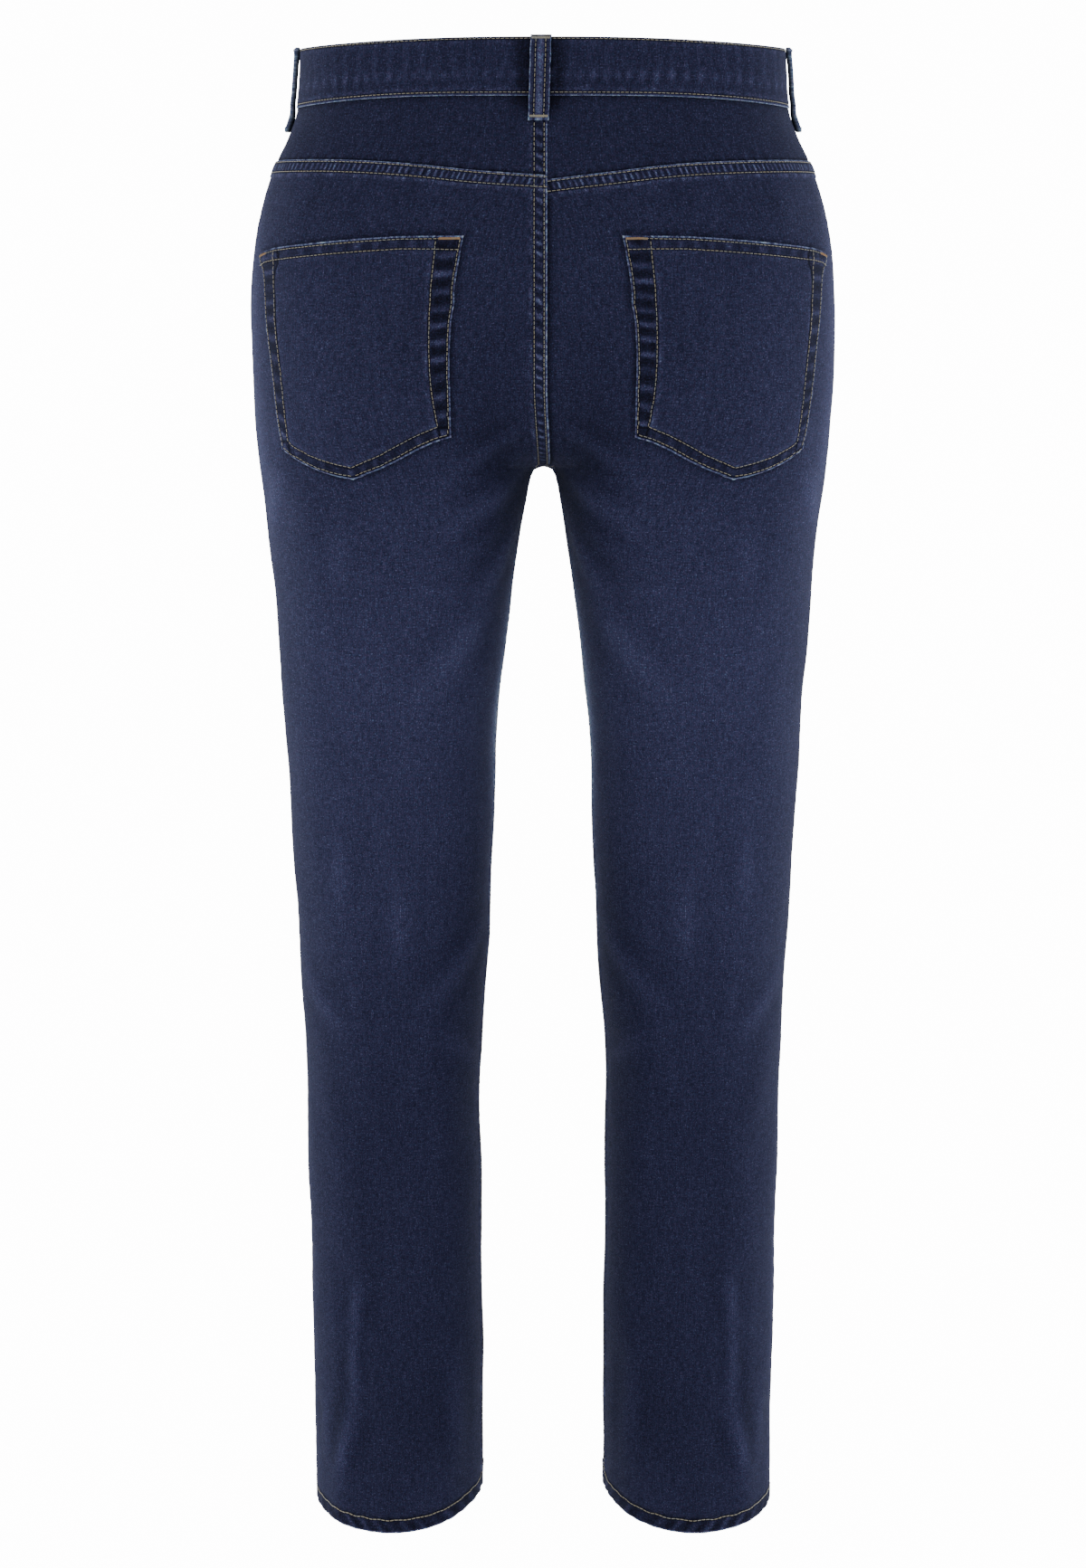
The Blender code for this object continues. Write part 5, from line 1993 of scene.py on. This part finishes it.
@dataclass
class Hem(SidePiece):
    """A turned-up hem, drawn into slanting ropes by its single row of stitches."""

    kind = "hem"
    rows: int = 15
    columns: int = 190
    out: float = 0.3
    thick: float = 2.3
    row: float = 9.4
    rope_pitch: float = 11.6
    tone: float = -0.02

    def cut(self) -> None:
        """Cut the hem, thicker and whiter where it crosses the inside leg seam."""
        side = self.side
        turn = np.linspace(0.0, 1.0, self.columns)[None, :]
        share = np.linspace(0.0, 1.0, self.rows)[:, None]
        height = hem_edge(turn) + (hem_top(turn) - hem_edge(turn)) * share
        flat = np.ones(height.shape)
        reach = 2.0 * float(half_length(HEM_LEVEL, True))
        run, above = turn * reach * flat, HEM_HEIGHT * share * flat
        sewn = above + 0.4 * wander(run, 13.0, 69.0 + side) * share
        seam = Seam(run, sewn, seed=61.0 + side, pitch=self.rope_pitch, strength=0.45, first=-9.0,
                    second=self.row, pucker=0.6, slant=0.8)
        crossing = np.minimum(turn, 1.0 - turn) * reach * flat
        bump = (0.5 + 0.7 * share) * bell(crossing, 5.0)
        ropes = wander(run + 1.1 * above, self.rope_pitch / 2.0, 64.0 + side)
        nub = np.exp(-((crossing / 3.0) ** 2) - (above / 3.0) ** 2)
        wear = 0.45 * crests(ropes) * bell(above, 1.8) + 0.9 * nub
        # Darker all over, with painted shade in the hollows between the ropes, and a darker patch above the
        # crossing with the inside leg seam.
        hollows = crests(-wander(run + 0.8 * above, self.rope_pitch, 67.0 + side))
        dark = 0.30 + 0.35 * hollows * np.sin(np.pi * share)
        dark = dark + 0.5 * bell(crossing, 8.0) * bell(above - 6.0, 3.0)
        face = self.out + bump + 0.12 * ropes * (1.0 - share)
        patch = self.room.lay(side, turn, height, face, face - self.thick, (seam,), wear, dark, self.tone)
        self.room.cut(self.node, patch, ["back_" + side.word], "denim_dark")

    def sew(self) -> None:
        """Sew the hem's row, in longer and thicker stitches."""
        self.room.sew(self.node, [self.patch.upright("seam_a", 2)], HEM_STITCH)


# ---- pockets


@dataclass
class BackPocket(SidePiece):
    """A back patch pocket: its hemmed mouth, turned edges, worn corners, rows and bar tacks.

    Two edges that face each other are sewn as one seam, each from its own side. seams holds their
    names, their length, how far the second one's run lies past the first one's, how strongly each
    is drawn up, and the seam's pitch, pucker and seed.
    """

    kind = "back_pocket"
    seams: tuple[tuple, ...] = (
        ("inner", "outer", 135.0, 400.0, 0.72, 0.5, 11.2, 0.6, 11.0),
        ("bottom", "mouth", 160.0, 700.0, 0.3, 0.3, 12.4, 0.5, 15.0),
    )
    edge_row: float = 1.8
    hem: float = 9.4
    hem_raise: float = 0.45
    face: float = 1.35
    belly: float = 0.7
    belly_run: float = 34.0
    point: float = 0.5674
    tip: int = 7
    tone: float = 0.012
    tacked: tuple[float, float] = (0.105, 0.925)
    crowded: tuple[float, ...] = (0.0, 0.0022, 0.0055, 0.010, 0.016, 0.024, 0.034, 0.046)
    by_point: tuple[float, ...] = (-0.009, -0.004, 0.0, 0.004, 0.009)

    def grid(self) -> tuple[Array, Array, Array]:
        """Blend the pocket's edges into a grid: both pairs' blends less the corners' blend.

        Returns:
            The shares across, the shares down and the plan: distances from the side and heights.
        """
        close, point = np.array(self.crowded), self.point + np.array(self.by_point)
        across = np.sort(np.concatenate([close, np.linspace(0.060, 0.940, 62), point, 1.0 - close]))
        down = np.concatenate([close, np.linspace(0.060, 0.940, 56), 1.0 - close[::-1]])
        u, v = across[None, :, None], down[:, None, None]
        edges = {}
        for name, share, by in (("mouth", u, 0), ("bottom", u, 0), ("inner", v, 1), ("outer", v, 1)):
            line = POCKET_EDGES[name]
            at = line[0, by] + (line[-1, by] - line[0, by]) * share
            pair = (at, read_line(line, at, by))
            edges[name] = np.concatenate(pair if by == 0 else pair[::-1], axis=-1)
        plan = (1.0 - v) * edges["mouth"] + v * edges["bottom"]
        plan = plan + (1.0 - u) * edges["inner"] + u * edges["outer"]
        for name, share in (("mouth", 1.0 - v), ("bottom", v)):
            line = POCKET_EDGES[name]
            plan = plan - share * ((1.0 - u) * line[0] + u * line[-1])
        return u[..., 0], v[..., 0], plan

    def cut(self) -> None:
        """Cut the pocket, worn at its inner corners, its low outer corner and its point."""
        u, v, plan = self.grid()
        place, height = plan[..., 0], plan[..., 1]
        turn = turn_at(place, height)
        far = {name: nearest(plan.reshape(-1, 2), line)[0].reshape(turn.shape)
               for name, line in POCKET_EDGES.items()}
        second = {}
        for name, known, by, slope in (("inner", height, 1, 1.0), ("outer", height, 1, 1.0),
                                       ("mouth", place, 0, 1.0), ("bottom", place, 0, 0.93)):
            rows = read_line(POCKET_ROWS[name], known, by) - read_line(POCKET_EDGES[name], known, by)
            second[name] = slope * np.abs(rows)
        seams = []
        for share, (a, b, reach, past, drawn_a, drawn_b, pitch, pucker, seed) in zip((v, u), self.seams):
            run, is_first = share * reach * np.ones(turn.shape), far[a] < far[b]
            seams.append(Seam(
                np.where(is_first, run, run + past), np.minimum(far[a], far[b]),
                np.where(is_first, drawn_a, drawn_b), pitch, seed + self.side, self.edge_row,
                np.where(is_first, second[a], second[b]), pucker, slant=0.0,
            ))
        sides = seams[0]
        hem = self.hem_raise * ramp((self.hem + 1.2 - far["mouth"]) / 1.2)
        fold = 0.25 * ramp((sides.second + 1.0 - sides.inside) / 1.5)
        inmost = np.minimum(sides.inside, np.minimum(far["bottom"], far["mouth"] + 4.0))
        face = self.face + hem + fold + self.belly * ramp(inmost / self.belly_run)
        upper, lower = (
            np.exp(-((far[name] / 2.0) ** 2) - (far["inner"] / 2.0) ** 2) for name in ("mouth", "bottom")
        )
        from_corner = plan - POCKET_EDGES["bottom"][-1] - np.array([0.0, 4.0])
        corner = np.exp(-((from_corner[..., 0] / 9.0) ** 2) - (from_corner[..., 1] / 9.0) ** 2)
        point = np.exp(-((far["bottom"] / 7.0) ** 2) - ((u - self.point) / 0.012) ** 2)
        wear = 1.6 * (upper + 0.8 * lower) + 0.5 * corner + 0.55 * point
        in_band = {name: ramp((second[name] + 0.4 - far[name]) / 1.2) for name in far}
        dark = 0.62 * in_band["inner"] + 0.55 * in_band["outer"]
        dark = np.maximum(dark, np.maximum(0.5 * in_band["bottom"], 0.22 * in_band["mouth"]))
        patch = self.room.lay(self.side, turn, height, face, face - CLOTH, seams, wear, dark, self.tone)
        self.room.cut(self.node, patch, ["back_" + self.side.word])

    def sew(self) -> None:
        """Sew a row along every edge, the inner rows and the bar tacks at the mouth's ends."""
        rows = []
        for name, sign in POCKET_INWARD.items():
            line = POCKET_EDGES[name]
            for part in (line[:self.tip], line[self.tip - 1:]) if name == "bottom" else (line,):
                rows.append(shifted(part, sign * self.edge_row, self.edge_row))
        mouth = rows[0]
        self.sew_plan(rows + list(POCKET_ROWS.values()), 2.6)
        ends = [int(len(mouth) * share) for share in self.tacked]
        self.sew_plan([mouth[:ends[0]], mouth[ends[1]:]], 2.8, BAR_TACK, "bar_tack", self.room.orange)

    def sew_plan(self, lines: Sequence[Array], out: float, *how: object) -> None:
        """Sew plane lines on the pocket, about as far out as its cloth."""
        rows = [self.room.row(self.side, turn_at(*line.T), line[:, 1], out) for line in lines]
        self.room.sew(self.node, rows, *how)


@dataclass
class PocketFacing(SidePiece):
    """The facing seen in a front pocket's mouth, tucked up behind the waistband and past the side."""

    kind = "pocket_facing"
    rows: int = 34
    columns: int = 46
    past_turn: float = 0.05
    past: float = 18.0
    inside: float = 2.6
    tuck: float = 6.0
    tuck_turn: float = 0.016
    tone: float = -0.02

    def cut(self) -> None:
        """Cut the facing, with painted shade under the mouth's edge and under the waistband."""
        across = np.linspace(0.0, 1.0, self.columns)[None, :]
        down = np.linspace(0.0, 1.0, self.rows)[:, None]
        start = SCOOP_TURN - self.past_turn
        turn = start + (SIDE_TURN + self.tuck_turn - start) * across + 0.0 * down
        top = ringed(WAIST_SEAM, turn) + self.tuck
        height = top + (front_top(np.minimum(turn, SIDE_TURN)) - self.past - top) * down
        out = np.full(turn.shape, -self.inside)
        # Painted shade under the mouth's edge and under the waistband.
        shade = 0.5 * bell(front_top(turn) - height, 6.0) + 0.4 * bell(top - height, 3.0)
        patch = self.room.lay(self.side, turn, height, out, out - CLOTH, (), 0.0, shade, self.tone)
        self.room.cut(self.node, patch, ["waistband"])


# ---- the waist


@dataclass
class Waistband:
    """The waistband, whose left end lies over its right end at the front, with its buttonhole."""

    room: Workroom
    out: float = 0.8
    thick: float = 2.2
    pillow: float = 0.3
    past_front: float = 10.0
    underlap: float = 28.0
    lift: float = 3.0
    top_row: float = 1.2
    bottom_row: float = 2.2
    crowded: tuple[float, ...] = (0.0, 0.008, 0.022, 0.040, 0.060, 0.085)
    tone: float = -0.02
    button_at: float = 4.0
    hole: tuple[float, float] = (-5.0, 14.5)
    hole_half: float = 1.3

    def cut(self) -> None:
        """Cut the waistband's two halves and join them at the centre back."""
        length = float(half_length(WAIST_SEAM["front"] / 2.0, False))
        left = np.linspace(-self.past_front / length / 2.0, 1.0, 236)
        right = np.linspace(1.0, -self.underlap / length / 2.0, 244)[1:]
        from_front = left * 2.0 * length
        lift = self.lift * ramp((LIFT_FROM - from_front) / LIFT_RUN)
        lift = lift + 0.45 * bell(from_front - 4.0, 9.0)
        first = self.half(LEFT, left, lift, length)
        second = self.half(RIGHT, right, np.zeros_like(right), length)
        second.cloth[..., 0] = 2.0 * first.cloth[:, -1:, 0] - second.cloth[..., 0]
        patch = Patch.joined([first, second])
        self.room.cut("waistband", patch, ["yoke_left", "yoke_right"], "denim_dark")

    def half(self, side: Side, turn: Array, raised: Array, length: float) -> Patch:
        """Cut one half.

        Args:
            side: the half.
            turn: its columns' turns.
            raised: how far each column stands off.
            length: the length of a half of the waist.

        Returns:
            The patch.
        """
        close = np.array(self.crowded)
        rows = np.concatenate([close, np.linspace(0.12, 0.88, 18), 1.0 - close[::-1]])[:, None]
        low = ringed(WAIST_SEAM, turn) + SEAM_GAP / 2.0
        height = low + (ringed(WAIST_TOP, turn) - low) * rows
        turn = np.broadcast_to(turn, height.shape)
        above, below = height - low, ringed(WAIST_TOP, turn) - height
        run = turn * 2.0 * length * side
        top = Seam(run, below, seed=31.0, strength=0.35, first=self.top_row, second=self.top_row,
                   pucker=0.0, unworn=0.5)
        bottom = Seam(run, above, seed=37.0, strength=0.6, first=self.bottom_row, second=self.bottom_row,
                      pucker=0.0, unworn=0.75)
        pillow = self.pillow * (1.0 - (2.0 * rows - 1.0) ** 2)
        allowance = 0.18 * ramp((14.0 - above) / 4.0)
        ridge = bell(above - 13.0, 3.2)
        dashes = crests(0.25 + wander(run, 9.4, 41.0))
        streaks = crests(wander(run, 11.0, 43.0)) * ramp((above - 4.0) / 8.0)
        wear = 0.55 * ridge * dashes + 0.22 * streaks + 0.8 * bell(above, 1.5)
        # Darker gaps between the worn dashes, and a painted shadow beside the middle belt loop over the
        # band's whole height.
        gaps = crests(wander(run, 9.4, 41.9) - 0.1)
        from_loop = (1.0 - turn) * 2.0 * length * side - 2.0
        dark = 0.45 * bell(above - 9.0, 3.5) * gaps + 1.1 * np.exp(-((from_loop / 15.5) ** 4))
        face = self.out + raised[None, :] + pillow + allowance + 0.10 * dashes * ridge
        seams = (top, bottom)
        return self.room.lay(side, turn, height, face, face - self.thick, seams, wear, dark, self.tone)

    def sew(self) -> None:
        """Sew a row along both edges, and the buttonhole's rounded outline."""
        patch = self.room.pieces["waistband"].patch
        self.room.sew("waistband", [patch.upright("seam_a", 1, -1.0), patch.upright("seam_b", 1)])
        level = (ringed(WAIST_SEAM, np.array(0.0)) + ringed(WAIST_TOP, np.array(0.0))) / 2.0
        around = np.linspace(0.0, 2.0 * np.pi, 40)
        low, high = self.hole
        x = (low + high) / 2.0 - self.button_at * 2.0 + (high - low) / 2.0 * np.cos(around)
        z = level + self.hole_half * np.sign(np.sin(around)) * np.abs(np.sin(around)) ** 0.4
        hole = self.room.row(LEFT, x / half_length(z, False) / 2.0, z, 4.0)
        self.room.sew("waistband", [hole], BAR_TACK, "buttonhole")


@dataclass
class BeltLoop:
    """A belt loop, folded under at both ends and standing off the waistband between them.

    shift and lean are how far it lies and slants to one side, thick is how much more stands under
    its face, and path is its back's and its face's distance out, by the share of its height.
    """

    room: Workroom
    node: str
    side: Side
    turn: float
    shift: float
    lean: float
    thick: float
    rows: int = 58
    width: float = 13.4
    row: float = 3.5
    over: float = 1.2
    below: float = 15.8
    tone: float = 0.03
    across: tuple[float, ...] = (0.1, 0.3, 0.48, 0.62, 0.78, 0.9, 0.97, 1.0)
    path: tuple[tuple[float, float, float], ...] = (
        (0, 1.3, 2.7),
        (0.02, 1.2, 3.4),
        (0.14, 1.2, 3.5),
        (0.22, 1.7, 3.4),
        (0.34, 2.9, 4.4),
        (0.56, 3, 4.5),
        (0.8, 2.5, 4.1),
        (0.9, 1.6, 3.8),
        (0.98, 1.5, 3.8),
        (1, 1.7, 3),
    )

    def shares(self) -> Array:
        """Spread the columns from one edge, at -1, to the other, at 1."""
        half = np.array(self.across)
        return np.concatenate([-half[::-1], half])[None, :]

    def cut(self) -> None:
        """Cut the loop, worn pale along its middle and at its lower end."""
        turn, side = self.turn, self.side
        top = float(ringed(WAIST_TOP, np.array(turn))) + self.over
        low = float(ringed(WAIST_SEAM, np.array(turn))) - self.below
        share = np.linspace(0.0, 1.0, self.rows)[:, None]
        height = low + (top - low) * share
        half = self.width / 2.0 * self.shares()
        uneven = 0.25 * wander(share * 50.0 + 2.0 * np.sign(half), 13.0, 5.0 + 7.0 * turn)
        across = half + uneven * np.abs(self.shares()) + self.shift + self.lean * (share - 0.5)
        turns = turn - across / half_length(height, turn > 0.5) / 2.0
        path = columns(("share", "back", "face"), self.path)
        back, face = (np.interp(share, path["share"], path[name]) for name in ("back", "face"))
        flat = np.ones(turns.shape)
        run = (top - height) * flat
        edge = self.width / 2.0 - np.abs(half) * flat
        seam = Seam(run, edge, seed=51.0 + 3.0 * turn + side, pitch=6.4, strength=0.5, first=self.row,
                    second=self.row, pucker=0.0, slant=0.0, unworn=0.45)
        middle = np.cos(np.pi * np.clip(half / self.width * 2.0, -1.0, 1.0)) * 0.12
        lips = 0.45 * bell(np.minimum(share, 1.0 - share) * (top - low), 1.0)
        blotches = 0.75 + 0.35 * wander(run + 1.5 * half, 5.5, 9.0 + side)
        wear = 0.75 * blotches * np.exp(-((half / 2.3) ** 4)) + 1.1 * bell(height - low - 0.7, 1.4)
        dark = 0.25 * bell(edge - self.row, 1.2) * flat
        patch = self.room.lay(side, turns, height, face + self.thick + middle - lips, back + 0.3 * lips,
                              (seam,), wear, dark, self.tone)
        self.room.cut(self.node, patch, ["waistband"])

    def sew(self) -> None:
        """Sew the loop's two rows and the bar tacks across its ends."""
        grid = self.room.pieces[self.node].patch.outer
        across = np.repeat(self.shares() * self.width / 2.0, len(grid), axis=0)
        rows = [level_line(grid, across, place)[2:-2] for place in (-NEEDLES / 2.0, NEEDLES / 2.0)]
        self.room.sew(self.node, rows)
        self.room.sew(self.node, [grid[3, 2:-2], grid[-3, 2:-2]], BAR_TACK, "bar_tack")


LOOPS = (
    ("belt_loop_back", LEFT, 1.0, 2.1, -1.6, 0.0),
    ("belt_loop_side_left", LEFT, 0.5, -1.0, -1.0, 1.2),
    ("belt_loop_side_right", RIGHT, 0.5, -1.0, -1.0, 1.2),
    ("belt_loop_front_left", LEFT, 0.215, 0.0, -1.0, 0.0),
    ("belt_loop_front_right", RIGHT, 0.215, 0.0, -1.0, 0.0),
)


@dataclass
class FlyShield:
    """The fly shield behind the zip."""

    room: Workroom
    left: float = 14.0
    right: float = -34.0
    face: float = -3.1
    thick: float = 1.1
    tone: float = -0.02

    def cut(self) -> None:
        """Cut the shield, down to the fly's bottom."""
        height = np.linspace(WAIST_SEAM["front"] - 1.0, FLY_BOTTOM, 40)[:, None]
        turn = np.linspace(self.right, self.left, 22)[None, :] / half_length(height, False) / 2.0
        out = np.full(turn.shape, self.face)
        patch = self.room.lay(LEFT, turn, height, out, out - self.thick, tone=self.tone)
        self.room.cut("fly_shield", patch, ["front_right"])


@dataclass
class Hardware:
    """The zip and the button, which stay the frame's own solids with their own finishes."""

    nodes: dict
    tape: ZipTape = ZipTape()
    brass: AntiqueBrass = AntiqueBrass()

    def dress(self) -> None:
        """Give both their materials."""
        self.nodes["zip"].material_slots[0].material = self.tape.material("zip_tape_woven")
        self.nodes["button"].material_slots[0].material = self.brass.material("button_antique_brass")


# ---- studio


def stand(name: str, data: bpy.types.ID, place: Color, aim: Color) -> bpy.types.Object:
    """Stand a camera or a light at a place and turn it to face another.

    Args:
        name: its name.
        data: its camera or light.
        place: where it stands, in metres.
        aim: what it faces.

    Returns:
        The object.
    """
    item = bpy.data.objects.new(name, data)
    item.location = place
    item.rotation_euler = (Vector(aim) - item.location).to_track_quat("-Z", "Y").to_euler()
    bpy.context.scene.collection.objects.link(item)
    return item


@dataclass
class Studio:
    """The camera behind the jeans, soft lights and a plain white sweep.

    A lamp's row is its name, its place and what it faces in metres, its size, power and colour.
    """

    lens: float = 92.17
    camera_at: Color = (0.0, 2.7, -0.05)
    camera_aim: Color = (0.0, 0.0, -0.479)
    lamps: tuple[tuple, ...] = (
        ("key", (1.4, 2.5, 1.4), (0.0, 0.0, -0.45), 1.5, 44.0, (1.0, 0.99, 0.97)),
        ("fill", (-1.7, 2.3, 0.6), (0.0, 0.0, -0.5), 1.7, 30.0, (0.97, 0.98, 1.0)),
        ("rim_left", (1.8, -0.75, -0.3), (0.15, 0.0, -0.45), 1.6, 46.0, (0.96, 0.98, 1.0)),
        ("rim_right", (-1.8, -0.75, -0.3), (-0.15, 0.0, -0.45), 1.6, 46.0, (0.96, 0.98, 1.0)),
    )
    world: float = 0.45
    paper: BackdropPaper = BackdropPaper()
    bend: float = 900.0
    floor: float = -1350.0
    wall: float = -1700.0
    near: float = 5200.0
    top: float = 3600.0
    half_width: float = 4200.0

    def stand_camera(self) -> None:
        """Set the camera behind the jeans, a little above their middle."""
        data = bpy.data.cameras.new("camera")
        data.lens = self.lens
        data.sensor_width = 36.0
        data.clip_end = 50.0
        bpy.context.scene.camera = stand("camera", data, self.camera_at, self.camera_aim)

    def light(self) -> None:
        """Light the jeans softly from both sides, and the world evenly."""
        for name, place, aim, size, power, color in self.lamps:
            data = bpy.data.lights.new(name, "AREA")
            data.size, data.energy, data.color = size, power, color
            stand(name, data, place, aim)
        world = bpy.data.worlds.new("studio")
        world.use_nodes = True
        nodes = Nodes(world.node_tree)
        seen = nodes.add("LightPath").outputs["Is Camera Ray"]
        nodes.feed(world.node_tree.nodes["Background"], {
            "Color": (1.0, 1.0, 1.0, 1.0),
            "Strength": nodes.scaled(seen, self.paper.glow - self.world, self.world),
        })
        bpy.context.scene.world = world

    def hang_backdrop(self) -> None:
        """Stand a white sweep behind and under the jeans: floor, quarter round and wall."""
        turn = np.linspace(0.0, math.pi / 2.0, 14)
        y = np.concatenate([[self.near], self.wall + self.bend * (1.0 - np.sin(turn)), [self.wall]])
        z = np.concatenate([[self.floor], self.floor + self.bend * (1.0 - np.cos(turn)), [self.top]])
        x = np.linspace(-self.half_width, self.half_width, 9)
        points = np.stack(np.broadcast_arrays(x[None, :], y[:, None], z[:, None]), axis=-1)
        at = np.arange(len(y) * len(x)).reshape(len(y), len(x))
        faces = np.stack([at[:-1, :-1], at[1:, :-1], at[1:, 1:], at[:-1, 1:]], axis=-1).reshape(-1, 4)
        material = self.paper.material("backdrop_paper")
        make_object("backdrop", points.reshape(-1, 3), faces, material)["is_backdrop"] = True


def main() -> None:
    """Build the jeans around the loaded frame, then the studio."""
    logging.basicConfig(level=logging.INFO, format="%(message)s")
    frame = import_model()
    studio = Studio()
    studio.stand_camera()
    room = Workroom()
    for side in Side:
        back, front, yoke = BackPanel(room, side), FrontPanel(room, side), Yoke(room, side)
        pocket, facing, hem = BackPocket(room, side), PocketFacing(room, side), Hem(room, side)
        for piece in (back, front, yoke, pocket, facing, hem):
            piece.cut()
        for piece in (back, yoke, hem, front, pocket):
            piece.sew()
    for piece in (Waistband(room), *[BeltLoop(room, *sizes) for sizes in LOOPS]):
        piece.cut()
        piece.sew()
    FlyShield(room).cut()
    Hardware(frame["nodes"]).dress()
    room.declare()
    studio.light()
    studio.hang_backdrop()
    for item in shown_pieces():
        LOG.info("%s: %d faces", item.name, len(item.data.polygons))


if __name__ == "__main__":
    main()
